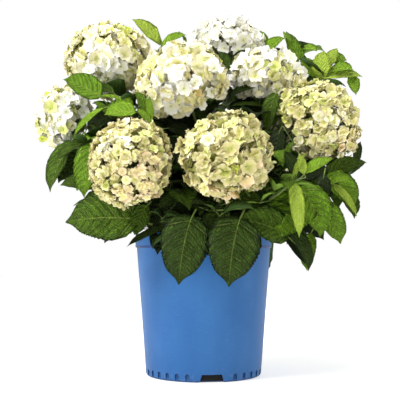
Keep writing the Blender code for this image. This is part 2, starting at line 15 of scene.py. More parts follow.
import bpy
import numpy as np
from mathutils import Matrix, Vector


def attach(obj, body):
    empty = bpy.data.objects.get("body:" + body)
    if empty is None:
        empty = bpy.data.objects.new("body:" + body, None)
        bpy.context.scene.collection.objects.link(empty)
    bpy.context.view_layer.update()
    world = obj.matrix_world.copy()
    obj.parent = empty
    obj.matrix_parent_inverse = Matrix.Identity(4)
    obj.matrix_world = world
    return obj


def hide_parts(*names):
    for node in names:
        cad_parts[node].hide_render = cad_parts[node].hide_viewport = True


# ---- driving dimensions of the frame, metres and degrees ----
POT_HEIGHT = 0.233
RIM_HEIGHT = 0.022
RIM_RADIUS = 0.115
BODY_TOP_RADIUS = 0.1127
BASE_RADIUS = 0.0955
BASE_ROUNDING = 0.005
NECK_ROUNDING, RIM_ROUNDING, LIP_ROUNDING = 0.0012, 0.0008, 0.0011  # under the rim, its edge, its lip
WALL = 0.0022
FLOOR = 0.003
NOTCHES = 3
NOTCH_TURN = -82.5
NOTCH_BOTTOM, NOTCH_TOP, NOTCH_HEIGHT = 0.047, 0.031, 0.0125
SLOTS_BETWEEN = 8
SLOT_STEP = 10.6
SLOT_WIDTH, SLOT_HEIGHT, SLOT_DEPTH = 0.0070, 0.0130, 0.0011

GAP = 0.0003
SOIL_TOP = 0.204
STOOL_RADIUS = 0.024
STOOL_CENTRE = SOIL_TOP + 0.010
STOOL_FLARE = 0.034
START_SPACING = 17.5
START_ROUNDS, START_PUSH = 150, 0.25
SPLAY = 1.12
LOWEST_START = 8.0

CANE_RADIUS = 0.0031
FORK_RADIUS = 0.0024
TIP_RADIUS = 0.0018
LEAFY_LENGTH = 0.170
LEAFY_SHARE = 0.64
NECK = 0.018
STEM_BOW = 0.38  # how far a stem's arc bows out of its chord, beside the chord
TOP_PAIR = 0.003  # how far the top pair sits under a stem's tip

BLOOM_FLATNESS = 0.84
FLORET_SHARE = 0.93

LEAF_LENGTH = 0.116
LEAF_WIDTH_SHARE = 0.70
WIDEST_NEAR_BASE, WIDEST_NEAR_TIP = 0.46, 0.76
DRIP_TIP = 0.55  # how much narrower the last fifth of a blade gets
EDGE_CURL = 0.35
HOOK = 0.84  # the share of a fine blade's length where its tip begins to hook down
FOLDING = 2.0  # how much more a fine blade folds than its solid
PAIR_SIZES = (0.76, 0.92, 1.04, 1.10)
PAIR_SPACING = 0.047
LEAF_SPREAD = 68
PETIOLE_SHARE = 0.18
PETIOLE_RISE, PETIOLE_STEEPEST = 12, 62
TRIES = 44
OWN_TRIES = 8

# Flowering shoots: azimuth, reach and height of the head's centre, its diameter, the lift of the
# way it faces, and the azimuth of the leaf pair just under it.
FLOWERING = {
    "top_left": (170, 0.172, 0.546, 0.154, 66, 200),
    "top_mid": (65, 0.111, 0.587, 0.134, 78, 20),
    "centre_left": (-124, 0.062, 0.486, 0.158, 58, 150),
    "mid_right": (13, 0.116, 0.506, 0.132, 72, -60),
    "right": (-12, 0.196, 0.418, 0.150, 30, -100),
    "front_left": (-127, 0.186, 0.336, 0.136, 18, 190),
    "front_centre": (-78, 0.168, 0.343, 0.152, 24, 180),
    "far_left": (178, 0.241, 0.436, 0.112, 24, -110),
    "back_left": (134, 0.206, 0.398, 0.150, 26, 60),
    "back_right": (50, 0.214, 0.428, 0.146, 30, 120),
    "back_centre": (90, 0.208, 0.362, 0.154, 20, 0),
    "back_top": (115, 0.156, 0.528, 0.140, 54, 30),
}
# Leafy shoots, which rise from the stool with no head: azimuth, reach and height of the tip, its
# lift, the number of leaf pairs, their size beside LEAF_LENGTH, and the azimuth of the top pair.
LEAFY = {
    "young_top_left": (136, 0.105, 0.582, 84, 3, 0.66, 175),
    "young_top_right": (28, 0.182, 0.577, 92, 4, 0.72, 170),
    "young_far_right": (13, 0.224, 0.526, 66, 4, 0.76, 70),
    "young_right": (-48, 0.201, 0.307, 30, 2, 0.70, -78),
    "young_left": (-173, 0.167, 0.454, 60, 4, 0.72, -155),
    "side_right": (-26, 0.206, 0.297, 14, 3, 0.98, -147),
    "side_right_back": (5, 0.226, 0.318, 20, 4, 0.94, 10),
    "side_left": (-175, 0.220, 0.382, 30, 4, 0.88, -166),
    "side_left_back": (156, 0.190, 0.300, 10, 3, 1.0, 60),
    "side_back": (66, 0.205, 0.285, 10, 3, 1.0, 160),
    "side_back_left": (112, 0.200, 0.280, 10, 3, 1.0, 20),
    "skirt_front": (-86, 0.140, 0.263, -2, 3, 1.0, -152),
    "skirt_front_left": (-132, 0.142, 0.258, -4, 3, 1.0, -175),
    "skirt_front_right": (-44, 0.160, 0.246, -10, 3, 1.0, -29),
    "skirt_back_left": (142, 0.130, 0.262, 4, 3, 1.04, 50),
    "skirt_back": (88, 0.128, 0.262, 4, 3, 1.0, 10),
    "skirt_back_right": (36, 0.132, 0.262, 4, 3, 1.04, -40),
}
# Leaves with a pose of their own, by shoot, pair and side of the pair: azimuth, lift and droop of
# the midrib, length, width beside length, roll about the midrib, and tint where it has its own.
OWN_POSES = {
    ("skirt_front_right", 0, 0): (-29, -35, 50, 0.082, 0.46, -20, None),
    ("side_left", 1, 0): (-140, -12, 50, 0.084, 0.66, 30, "green"),
    ("side_right", 0, 0): (-147, -24, 40, 0.108, 0.76, 45, "fresh"),
    ("side_right_back", 0, 0): (10, 52, 45, 0.072, 0.60, -40, None),
    ("side_right_back", 0, 1): (-66, -22, 50, 0.080, 0.54, 0, None),
    ("young_right", 0, 1): (-10, 74, 20, 0.044, 0.50, -30, "lime"),
    ("young_left", 0, 1): (-34, -4, 35, 0.076, 0.70, -30, "bright"),
    ("young_top_right", 0, 0): (-110, 41, 25, 0.046, 0.60, 40, None),
    ("young_top_right", 0, 1): (-34, 14, 50, 0.050, 0.66, -40, None),
    ("young_top_right", 1, 1): (-50, 4, 60, 0.070, 0.66, -20, None),
    ("young_top_right", 1, 0): (-176, 40, 40, 0.062, 0.66, 40, None),
    ("young_far_right", 0, 0): (20, 72, 20, 0.052, 0.66, -30, None),
    ("young_far_right", 0, 1): (-35, 27, 50, 0.054, 0.70, -45, "bright"),
}
# Leaves that TWIG_LEAVES has another way, by shoot: the numbers of their pair and side.
TURNED = {
    "skirt_front": "00 01 10 11",
    "front_centre": "01",
    "skirt_front_left": "00 01 11",
    "skirt_front_right": "01 10 11 21",
    "side_right": "01 10 20",
    "side_left": "00 01 21",
    "side_left_back": "01 10 20",
    "skirt_back_left": "01 10",
    "young_left": "00 10",
    "young_top_left": "00 01",
    "young_right": "00 10 11",
    "side_right_back": "21 30",
    "young_far_right": "10 11",
}
# Leaves on twigs of their own, by the shoot that carries the twig. Each row gives the foot and then
# the tip of the midrib, by where the camera sees it (pixels right and down) and how far behind the
# pot's axis it lies (millimetres), width beside length, droop, the azimuth and lift of the way its
# upper face looks, and tint; the dark and deep tints partly paint the shade that falls on the leaf.
TWIG_LEAVES = {
    "young_top_left": [
        (161, 45, 75, 132, 19, 62, 0.46, 30, -100, 30, "lime"),
        (161, 46, 60, 187, 35, 52, 0.48, 40, -90, 35, "bright"),
        (181, 33, 66, 185, 47, 60, 0.40, 40, -40, 20, "fresh"),
    ],
    "mid_right": [
        (229, 74, 40, 219, 51, 30, 0.70, 30, -80, 20, "green"),
        (231, 70, 45, 247, 49, 40, 0.50, 30, -100, 20, "dark"),
        (258, 86, -12, 229, 98, 0, 0.48, 40, -90, 40, "dark"),
        (266, 107, -15, 230, 106, -5, 0.26, 30, -90, 45, "green"),
        (276, 93, -36, 268, 133, -48, 0.44, 30, -110, 15, "green"),
        (240, 112, 5, 270, 118, 0, 0.60, 40, -90, 10, "deep"),
        (204, 130, -6, 164, 121, -14, 0.60, 20, -90, 0, "deep"),
        (264, 108, 30, 230, 105, 24, 0.50, 20, -90, 10, "deep"),
    ],
    "front_left": [
        (150, 116, -20, 186, 127, -26, 0.50, 20, -90, 0, "deep"),
        (186, 124, 0, 168, 158, -20, 0.60, 40, -90, 10, "deep"),
        (168, 128, -60, 196, 140, -70, 0.55, 40, -90, 30, "deep"),
    ],
    "side_right": [
        (280, 130, -60, 276, 168, -70, 0.50, 40, -90, 0, "deep"),
        (285, 156, -118, 294, 141, -112, 0.36, 20, -120, 20, "fresh"),
        (300, 178, -110, 330, 170, -96, 0.52, 40, -80, 0, "deep"),
        (324, 174, -106, 323, 215, -112, 0.42, 30, -85, -10, "deep"),
        (316, 178, -104, 314, 212, -112, 0.46, 30, -120, 15, "green"),
        (299, 187, -118, 321, 237, -130, 0.74, 40, -80, 20, "fresh"),
        (284, 233, -112, 306, 265, -118, 0.44, 20, -60, 0, "deep"),
        (311, 233, -100, 307, 271, -104, 0.50, 20, -105, 10, "fresh"),
        (294, 214, -60, 324, 240, -66, 0.60, 30, -90, 10, "deep"),
        (270, 188, -96, 243, 213, -110, 0.74, 40, -90, 20, "dark"),
    ],
    "young_top_right": [
        (264, 53, 88, 260, 30, 92, 0.56, 20, -90, 20, "bright"),
        (265, 52, 72, 285, 38, 62, 0.74, 30, -100, 35, "bright"),
        (268, 53, 66, 283, 50, 60, 0.42, 30, -80, 10, "dark"),
        (303, 70, 60, 286, 31, 62, 0.40, 10, -110, 20, "fresh"),
        (291, 45, 75, 313, 47, 72, 0.44, 10, -85, 20, "dark"),
        (300, 52, 66, 304, 80, 55, 0.44, 30, -110, 10, "green"),
    ],
    "young_far_right": [
        (318, 80, 48, 300, 58, 50, 0.60, 30, -100, 25, "bright"),
        (326, 60, 62, 347, 60, 58, 0.84, 20, -95, 25, "bright"),
        (322, 82, 40, 324, 50, 46, 0.66, 30, -110, 30, "lime"),
        (318, 78, 38, 363, 76, 30, 0.40, 20, -100, 35, "lime"),
        (318, 76, 44, 342, 70, 40, 0.40, 20, -100, 35, "bright"),
        (350, 74, 36, 356, 95, 28, 0.60, 20, -100, 20, "bright"),
    ],
    "side_right_back": [
        (354, 166, -20, 361, 141, -14, 0.44, 20, -60, 10, "dark"),
        (326, 176, -60, 363, 162, -56, 0.58, 30, -90, 25, "green"),
        (326, 176, -72, 354, 208, -86, 0.80, 40, -80, 25, "fresh"),
        (328, 182, -76, 339, 208, -84, 0.60, 30, -90, 20, "green"),
        (332, 184, -90, 357, 217, -100, 0.21, 40, -120, 20, "lime"),
        (330, 184, -92, 349, 180, -98, 0.60, 40, -100, 50, "bright"),
        (315, 204, -100, 341, 244, -112, 0.70, 30, -80, 20, "fresh"),
    ],
    "young_right": [
        (305, 173, -158, 334, 158, -150, 0.48, 20, -100, 40, "bright"),
        (304, 174, -158, 299, 153, -154, 0.48, 10, -110, 30, "lime"),
        (297, 179, -130, 284, 150, -122, 0.52, 20, -80, 20, "dark"),
        (293, 182, -158, 299, 238, -172, 0.30, 30, -100, 25, "lime"),
    ],
    "skirt_front_left": [
        (160, 203, -100, 150, 232, -112, 0.60, 30, -90, 10, "deep"),
        (190, 204, -100, 170, 224, -112, 0.60, 30, -90, 10, "deep"),
        (186, 194, -110, 159, 208, -128, 0.62, 30, -90, 30, "dark"),
        (172, 226, -122, 126, 247, -126, 0.30, 20, -110, 50, "dark"),
        (147, 205, -120, 136, 236, -128, 0.64, 30, -80, 10, "green"),
        (140, 220, -118, 65, 222, -132, 0.80, 20, -97, 15, "green"),
        (136, 212, -104, 104, 243, -112, 0.62, 30, -80, 15, "dark"),
        (128, 206, -100, 97, 198, -110, 0.52, 30, -100, 40, "dark"),
    ],
    "skirt_front": [
        (236, 193, -112, 259, 213, -126, 0.90, 30, -90, 15, "green"),
        (192, 216, -150, 179, 285, -170, 0.78, 25, -80, 10, "dark"),
        (240, 218, -150, 229, 287, -172, 0.84, 25, -85, 10, "dark"),
        (226, 206, -136, 207, 256, -150, 0.58, 30, -110, 10, "dark"),
    ],
    "skirt_front_right": [
        (289, 237, -122, 237, 220, -150, 0.76, 30, -85, 25, "green"),
    ],
    "side_left": [
        (72, 141, -56, 49, 192, -64, 0.48, 20, -120, 10, "green"),
        (92, 140, -66, 56, 160, -74, 0.44, 30, -95, 45, "green"),
        (84, 152, -50, 58, 183, -56, 0.62, 30, -80, 10, "dark"),
        (97, 186, -72, 60, 185, -84, 0.62, 30, -95, 30, "green"),
        (93, 143, -92, 84, 198, -104, 0.52, 20, -100, 20, "fresh"),
        (116, 112, -40, 88, 134, -50, 0.72, 30, -90, 20, "deep"),
        (150, 112, -56, 166, 122, -60, 0.60, 30, -90, 20, "deep"),
    ],
    "young_left": [
        (104, 108, -84, 73, 137, -96, 0.36, 20, -130, 35, "bright"),
        (136, 112, -84, 104, 115, -96, 0.76, 30, -95, 30, "bright"),
        (101, 97, -66, 63, 79, -72, 0.76, 20, -110, 30, "fresh"),
        (114, 93, -56, 90, 86, -60, 0.52, 30, -90, 30, "green"),
        (122, 100, -70, 97, 97, -74, 0.34, 30, -90, 50, "bright"),
        (147, 113, -96, 135, 91, -92, 0.64, 20, -60, 20, "fresh"),
        (152, 121, -104, 147, 93, -100, 0.32, 10, -120, 10, "bright"),
        (151, 125, -108, 136, 108, -112, 0.46, 20, -90, 40, "bright"),
        (107, 113, -76, 94, 101, -80, 0.50, 20, -90, 30, "fresh"),
    ],
}

# ---- dimensions of the fine surfaces ----
POT_COLUMNS, MIX_COLUMNS = 240, 120
FILLET_STEPS = 6
CHIPS = 900  # bark chips in the potting mix
MATCH = 0.0002  # a packed corner this near a leaf's tip says that the frame kept that leaf

SIDE_VEINS = 8
FINE_LEAF = 4 * SIDE_VEINS, (-1.0, -0.74, -0.38, 0.0, 0.38, 0.74, 1.0)  # rows, columns
PLAIN_LEAF = 10, (-1.0, -0.5, 0.0, 0.5, 1.0)
FINE_REACH = -0.04  # placed leaves this near the front are fine ones
BLADE_START, BLADE_END = 0.012, 0.996
VEIN_SWEEP = 0.50
TOOTH = 0.035
QUILTING = 0.012  # how far the blade swells between its side veins, beside its width
RIB_DEPTH = 0.0009

SEPAL_ROWS, SEPAL_COLUMNS = 3, 4
GOLDEN_ANGLE = math.pi * (3 - math.sqrt(5))
BRANCHES, BRANCH_STEP = 70, 2.399963  # in a flower head, and radians from one to the next
FILL_SHRINK, FILL_ROOM = 0.72, 0.004  # size and least distance of leaves in skipped places
SHOOTS_FROM, SHOOTS_SHORT = 0.045, 0.005  # they start this far up a stem, and end short of its tip
SHOOT_TURN = 137.5  # degrees from one side shoot of a stem to the next
HEAD_DISC = 0.46  # the radius kept clear before a head, beside its diameter
# The crown that side shoots keep to: half its width, depth and height, its middle and lowest mark.
CROWN_HALVES = (0.262, 0.235, 0.235)
CROWN_MIDDLE, CROWN_LOWEST = 0.37, 0.185
LEAF_MAP, SEPAL_MAP, BAKE_MAP = "leaf", "sepal", "OFBake"
TILE_INSET = 0.03  # the edge left free in each finish's tile of the map to bake

# ---- camera, floor and lights, metres and degrees ----
CAMERA_PLACE = (-0.006, -1.243, 0.181)
CAMERA_TILT = 5.10
CAMERA_LENS, SENSOR = 65.8, 36  # millimetres
FRAME = 400  # the picture's side, in pixels
SKY = 0.42
FLOOR_RADIUS = 9.0
FLOOR_GLOW = 0.58, 0.85  # near the pot and far from it
# Softboxes: place, the height that they face, size and power in watts.
LIGHTS = {
    "key": ((-1.75, -1.25, 1.75), 0.33, 0.9, 50),
    "fill": ((1.9, -0.9, 0.7), 0.25, 1.2, 3),
    "back": ((0.5, 1.8, 1.5), 0.35, 1.2, 10),
    "top": ((-0.2, -0.7, 2.3), 0.50, 1.0, 34),
}


# ---- small helpers ----
def heading(azimuth, lift):
    """Unit vector at this azimuth from +X and this lift above the ground plane, in degrees."""
    a, e = math.radians(azimuth), math.radians(lift)
    return Vector((math.cos(a) * math.cos(e), math.sin(a) * math.cos(e), math.sin(e)))


def around(radius, angle, height):
    """Points at this distance from the plant's axis, angle about it in radians, and height."""
    return np.stack(np.broadcast_arrays(radius * np.cos(angle), radius * np.sin(angle), height), -1)


def on_cylinder(azimuth, reach, height):
    """The point at this azimuth in degrees, distance from the plant's axis and height."""
    a = math.radians(azimuth)
    return Vector((reach * math.cos(a), reach * math.sin(a), height))


def seen_at(right, down, back):
    """The place that the camera sees at this pixel, back millimetres behind the pot's axis.

    It is where the pixel's ray has come that far.
    """
    tilt, focal = math.radians(CAMERA_TILT), FRAME * CAMERA_LENS / SENSOR
    rise = (FRAME / 2 - down) / focal
    ray = Vector(((right - FRAME / 2) / focal, math.cos(tilt) - rise * math.sin(tilt),
                  math.sin(tilt) + rise * math.cos(tilt)))
    eye = Vector(CAMERA_PLACE)
    return eye + (back / 1000 - eye.y) / ray.y * ray


def azimuth_of(way):
    """A way's azimuth from +X, in degrees."""
    return math.degrees(math.atan2(way.y, way.x))


def square_to(along, near):
    """The unit vector closest to near that is square to along."""
    side = near - along * near.dot(along)
    if side.length < 1e-4:
        side = along.orthogonal()
    return side.normalized()


def unit(rows):
    """Each row at length 1."""
    return rows / np.linalg.norm(rows, axis=-1, keepdims=True)


def smooth(x, low, high):
    """0 below low, 1 above high, and a smooth step between."""
    t = np.clip((x - low) / (high - low), 0, 1)
    return t * t * (3 - 2 * t)


def circle(count):
    """Even angles once round, in radians."""
    return np.linspace(0, 2 * np.pi, count, endpoint=False)


def bowed(start, bend, end, t):
    """An arc's points at shares t: (1 - t)^2 of its start, 2 t (1 - t) of its bend, t^2 of its end."""
    return (1 - t) ** 2 * start + 2 * t * (1 - t) * bend + t**2 * end


def paint(red, green, blue):
    """A linear colour from 0-255 screen values: each share c becomes ((c + 0.055) / 1.055)^2.4."""
    return (*(((c / 255 + 0.055) / 1.055) ** 2.4 for c in (red, green, blue)), 1.0)


def scaled(colour, share):
    """A colour at this share of its brightness."""
    return (*(share * c for c in colour[:3]), 1.0)


def add_object(name, data, place=(0, 0, 0), turn=(0, 0, 0)):
    """A new object of the scene."""
    obj = bpy.data.objects.new(name, data)
    obj.location, obj.rotation_euler = place, turn
    bpy.context.scene.collection.objects.link(obj)
    return obj


# ---- meshes from arrays ----
class Pattern:
    """Faces that every copy of a shape shares: corners, the slot of each face, and a flat map."""

    def __init__(self, faces, slots, places):
        self.corners = np.concatenate([np.asarray(face) for face in faces])
        self.sizes = np.array([len(face) for face in faces])
        self.slots = np.asarray(slots)
        self.places = np.asarray(places, float)

    def copies(self, points, slots=None):
        """One part for each copy's points (copy, corner, xyz). slots gives each copy's own slots."""
        count, per_copy = points.shape[:2]
        corners = (self.corners + per_copy * np.arange(count)[:, None]).ravel()
        shared = np.tile(self.slots, (count, 1))
        slots = shared if slots is None else np.take_along_axis(slots, shared, 1)
        places = np.tile(self.places[self.corners], (count, 1))
        return points.reshape(-1, 3), corners, np.tile(self.sizes, count), slots.ravel(), places


def grid_faces(rows, columns, closed=False):
    """Quads of a grid of points, row by row. Where closed, the last column meets the first."""
    quads = columns if closed else columns - 1
    i, j = np.meshgrid(np.arange(rows - 1), np.arange(quads), indexing="ij")
    a, b = i * columns + j, i * columns + (j + 1) % columns
    return np.stack([a, b, b + columns, a + columns], -1).reshape(-1, 4)


def shell_faces(rows, columns):
    """Faces of a closed shell: rings of quads, and a fan over the first ring and the last."""
    ring = np.arange(columns)
    return [*grid_faces(rows, columns, closed=True), ring[::-1], ring + (rows - 1) * columns]


def build_piece(name, parts, finishes, map_name=None, sharp=None):
    """One mesh object from parts, with a flat map for its finishes and one stacked map to bake."""
    points, corners, sizes, slots, places = (np.concatenate(rows) for rows in zip(*parts))
    before = np.cumsum([0] + [len(part[0]) for part in parts[:-1]])
    corners = corners + np.repeat(before, [len(part[1]) for part in parts])
    mesh = bpy.data.meshes.new(name)
    mesh.vertices.add(len(points))
    mesh.loops.add(len(corners))
    mesh.polygons.add(len(sizes))
    for finish in finishes:
        mesh.materials.append(finish)
    mesh.vertices.foreach_set("co", points.astype(np.float32).ravel())
    mesh.loops.foreach_set("vertex_index", corners.astype(np.int32))
    mesh.polygons.foreach_set("loop_start", (np.cumsum(sizes) - sizes).astype(np.int32))
    mesh.polygons.foreach_set("material_index", slots.astype(np.int32))
    mesh.update(calc_edges=True)
    if map_name:
        across = math.ceil(math.sqrt(len(finishes)))
        slot = np.repeat(slots, sizes)
        tile = np.stack([slot % across, slot // across], -1)
        stacked = (tile + TILE_INSET + (1 - 2 * TILE_INSET) * places) / across
        for layer, flat in ((map_name, places), (BAKE_MAP, stacked)):
            mesh.uv_layers.new(name=layer).data.foreach_set("uv", flat.astype(np.float32).ravel())
    mesh.validate()
    mesh.shade_smooth()
    if sharp:
        mesh.set_sharp_from_angle(angle=math.radians(sharp))
    return add_object(name, mesh)


def settle(piece, slot, *nodes):
    """The piece rides on the plant's one body, and hides these nodes. slot is not used."""
    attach(piece, "root")
    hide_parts(*nodes)


# ---- materials ----
class Wire:
    """One output of a material's nodes. An expression on wires and numbers adds its Math nodes."""

    def __init__(self, finish, socket):
        self.finish, self.socket = finish, socket

    def math(self, operation, *values):
        return self.finish.node("ShaderNodeMath", {"operation": operation}, dict(enumerate(values)))

    __add__ = __radd__ = lambda self, other: self.math("ADD", self, other)
    __mul__ = __rmul__ = lambda self, other: self.math("MULTIPLY", self, other)
    __sub__ = lambda self, other: self.math("SUBTRACT", self, other)
    __rsub__ = lambda self, other: self.math("SUBTRACT", other, self)
    __abs__ = lambda self: self.math("ABSOLUTE", self)

    def most(self, other):
        """The larger of the two."""
        return self.math("MAXIMUM", self, other)

    def part(self):
        """What is left after the whole number."""
        return self.math("FRACT", self)

    def rise(self, low, high):
        """0 below low, 1 above high, and a smooth step between."""
        sockets = {"Value": self, "From Min": low, "From Max": high}
        return self.finish.node("ShaderNodeMapRange", {"interpolation_type": "SMOOTHSTEP"}, sockets)


class Finish:
    """A material in the making: its nodes and the Principled shader that they feed."""

    def __init__(self, name, roughness, **constants):
        self.material = bpy.data.materials.new(name)
        self.material.use_nodes = True
        self.tree = self.material.node_tree
        self.shader = self.tree.nodes["Principled BSDF"]
        self.done(Roughness=roughness, **constants)

    def connect(self, node, sockets):
        """Sets or links a node's sockets, given by name or number."""
        for key, value in sockets.items():
            if isinstance(value, Wire):
                self.tree.links.new(value.socket, node.inputs[key])
            else:
                node.inputs[key].default_value = value

    def node(self, kind, settings, sockets, output=0):
        """A node of this kind with its settings, then its sockets' values or links."""
        node = self.tree.nodes.new(kind)
        for key, value in settings.items():
            setattr(node, key, value)
        self.connect(node, sockets)
        return Wire(self, node.outputs[output])

    def mix(self, share, first, second):
        """The colour at this share of the way from first to second."""
        return self.node("ShaderNodeMix", {"data_type": "RGBA"}, {0: share, 6: first, 7: second}, 2)

    def noise(self, where, scale, detail=2.0):
        """Noise over a place, from 0 to 1."""
        return self.node("ShaderNodeTexNoise", {}, {"Vector": where, "Scale": scale, "Detail": detail})

    def stretched(self, where, scale):
        """A place scaled along each axis."""
        return self.node("ShaderNodeMapping", {}, {"Vector": where, "Scale": scale})

    def streaks(self, where, scale, detail=2.0):
        """Noise over a place scaled along each axis."""
        return self.noise(self.stretched(where, scale), 1.0, detail)

    def flat_place(self, map_name):
        """The flat map's place, and its two coordinates."""
        place = self.node("ShaderNodeUVMap", {"uv_map": map_name}, {})
        split = self.node("ShaderNodeSeparateXYZ", {}, {0: place})
        return place, split, Wire(self, split.socket.node.outputs[1])

    def solid_place(self):
        """The place in the object's own metres."""
        return self.node("ShaderNodeTexCoord", {}, {}, "Object")

    def height(self, where):
        """A place's height."""
        return self.node("ShaderNodeSeparateXYZ", {}, {0: where}, 2)

    def reach(self, where):
        """A place's distance from the origin."""
        return self.node("ShaderNodeVectorMath", {"operation": "LENGTH"}, {0: where}, 1)

    def bump(self, height, distance, strength=1.0):
        """The normal of a surface raised by height times distance, in metres."""
        sockets = {"Height": height, "Distance": distance, "Strength": strength}
        return self.node("ShaderNodeBump", {}, sockets)

    def done(self, **sockets):
        """Feeds the shader and gives the material."""
        self.connect(self.shader, {key.replace("_", " "): value for key, value in sockets.items()})
        return self.material


def leaf_finish(name, blade, vein, furrow_shade):
    """A leaf's upper face: quilted cells between a light midrib, side veins and a sunken net.

    The last argument is the brightness of the painted shade in its furrows and sunken net, beside the
    blade's.
    """
    f = Finish(name, 0.5, Specular_IOR_Level=0.16)
    place, x, y = f.flat_place(LEAF_MAP)
    across = abs(x * 2 - 1)
    rib = 1 - across.rise(0.008, 0.050)
    beside = abs((y * SIDE_VEINS).part() - 0.5)
    side = (1 - beside.rise(0.015, 0.07)) * (1 - across.rise(0.60, 0.95))
    cells = {"Vector": f.stretched(place, (17, 30, 1)), "Scale": 1.0}
    net = f.node("ShaderNodeTexVoronoi", {"feature": "DISTANCE_TO_EDGE"}, cells)
    tone = f.node("ShaderNodeTexVoronoi", {}, cells, 1)
    # dark is the colour of the painted shade in the net and the furrows.
    dark, pale = scaled(blade, furrow_shade), scaled(blade, min(2.1, 0.95 / max(blade[:3])))
    body = f.mix(tone.rise(0.1, 0.9) * 0.7, blade, pale)
    # Painted shade in the sunken net and in the furrows beside the side veins.
    body = f.mix((1 - net.rise(0.0, 0.18)) * 0.7, body, dark)
    body = f.mix((1 - beside.rise(0.04, 0.22)) * 0.85, body, dark)
    body = f.mix(f.noise(place, 3.0).rise(0.40, 0.75) * 0.4, body, pale)
    colour = f.mix(rib.most(side * 0.8) * 0.72, body, vein)
    height = net.rise(0.0, 0.32) + beside.rise(0.0, 0.45) * 1.2 - rib * 0.5
    return f.done(Base_Color=colour, Normal=f.bump(height, 0.0026))


def underside_finish(name, blade, vein):
    """A leaf's lower face: matt and pale, with its veins raised."""
    f = Finish(name, 0.62, Specular_IOR_Level=0.14)
    _, x, y = f.flat_place(LEAF_MAP)
    rib = 1 - abs(x * 2 - 1).rise(0.02, 0.07)
    side = 1 - abs((y * SIDE_VEINS).part() - 0.5).rise(0.03, 0.10)
    line = rib.most(side * 0.8)
    return f.done(Base_Color=f.mix(line * 0.7, blade, vein), Normal=f.bump(line, 0.0006, 0.8))


def sepal_finish(name, heart, body, edge):
    """A sepal: a greenish heart, its body colour, a paler edge, and fine veins that fan out."""
    f = Finish(name, 0.6, Specular_IOR_Level=0.2)
    place, x, y = f.flat_place(SEPAL_MAP)
    beside, shade = abs(x * 2 - 1), scaled(body, 0.68)
    veins = f.streaks(place, (16, 1.6, 1), 3.0)
    rim = y.rise(0.62, 1.0).most(beside.rise(0.55, 1.0))
    margin = y.rise(0.90, 1.0).most(beside.rise(0.86, 1.0))
    colour = f.mix(y.rise(0.02, 0.62), heart, body)
    colour = f.mix(rim * 0.85, colour, edge)
    colour = f.mix(veins.rise(0.50, 0.72) * 0.5, colour, shade)
    colour = f.mix(margin * 0.5, colour, shade)
    return f.done(Base_Color=colour, Normal=f.bump(veins, 0.0004, 0.6))


def stem_finish():
    """A green stem: long faint streaks and small dark specks."""
    f = Finish("green_stem", 0.55)
    place, green, dark = f.solid_place(), paint(104, 130, 62), paint(92, 74, 48)
    streaks = f.streaks(place, (900, 900, 60))
    specks = f.noise(place, 700.0, 1.0).rise(0.62, 0.72)
    body = f.mix(streaks.rise(0.3, 0.8) * 0.35, green, dark)
    return f.done(Base_Color=f.mix(specks * 0.7, body, dark), Normal=f.bump(streaks, 0.0004, 0.5))


def bark_finish():
    """Grey-brown bark that peels in long strips up the cane, with lichen-pale patches."""
    f = Finish("peeling_bark", 0.88)
    place = f.solid_place()
    strips = f.streaks(place, (620, 620, 38), 4.0)
    body = f.mix(strips.rise(0.35, 0.70), paint(70, 50, 34), paint(150, 120, 88))
    body = f.mix(f.noise(place, 75.0, 3.0).rise(0.52, 0.72) * 0.5, body, paint(170, 150, 122))
    return f.done(Base_Color=body, Normal=f.bump(strips, 0.0011, 0.9),
                  Roughness=0.95 - strips.rise(0.4, 0.8) * 0.2)


def mix_finish(name, dark, light):
    """Potting mix or a bark chip in it: crumbs of two colours, with black painted shade near the pot's
    floor.
    """
    f = Finish(name, 0.95)
    place = f.solid_place()
    crumbs = f.noise(place, 420.0, 5.0)
    bottom_shade = 1 - f.height(place).rise(0.015, 0.060)
    body = f.mix(crumbs.rise(0.35, 0.7), dark, light)
    # Low in the pot the crumbs turn to black painted shade.
    body = f.mix(bottom_shade * 0.9, body, paint(6, 6, 5))
    return f.done(Base_Color=body, Normal=f.bump(crumbs + f.noise(place, 1500.0) * 0.4, 0.0016))


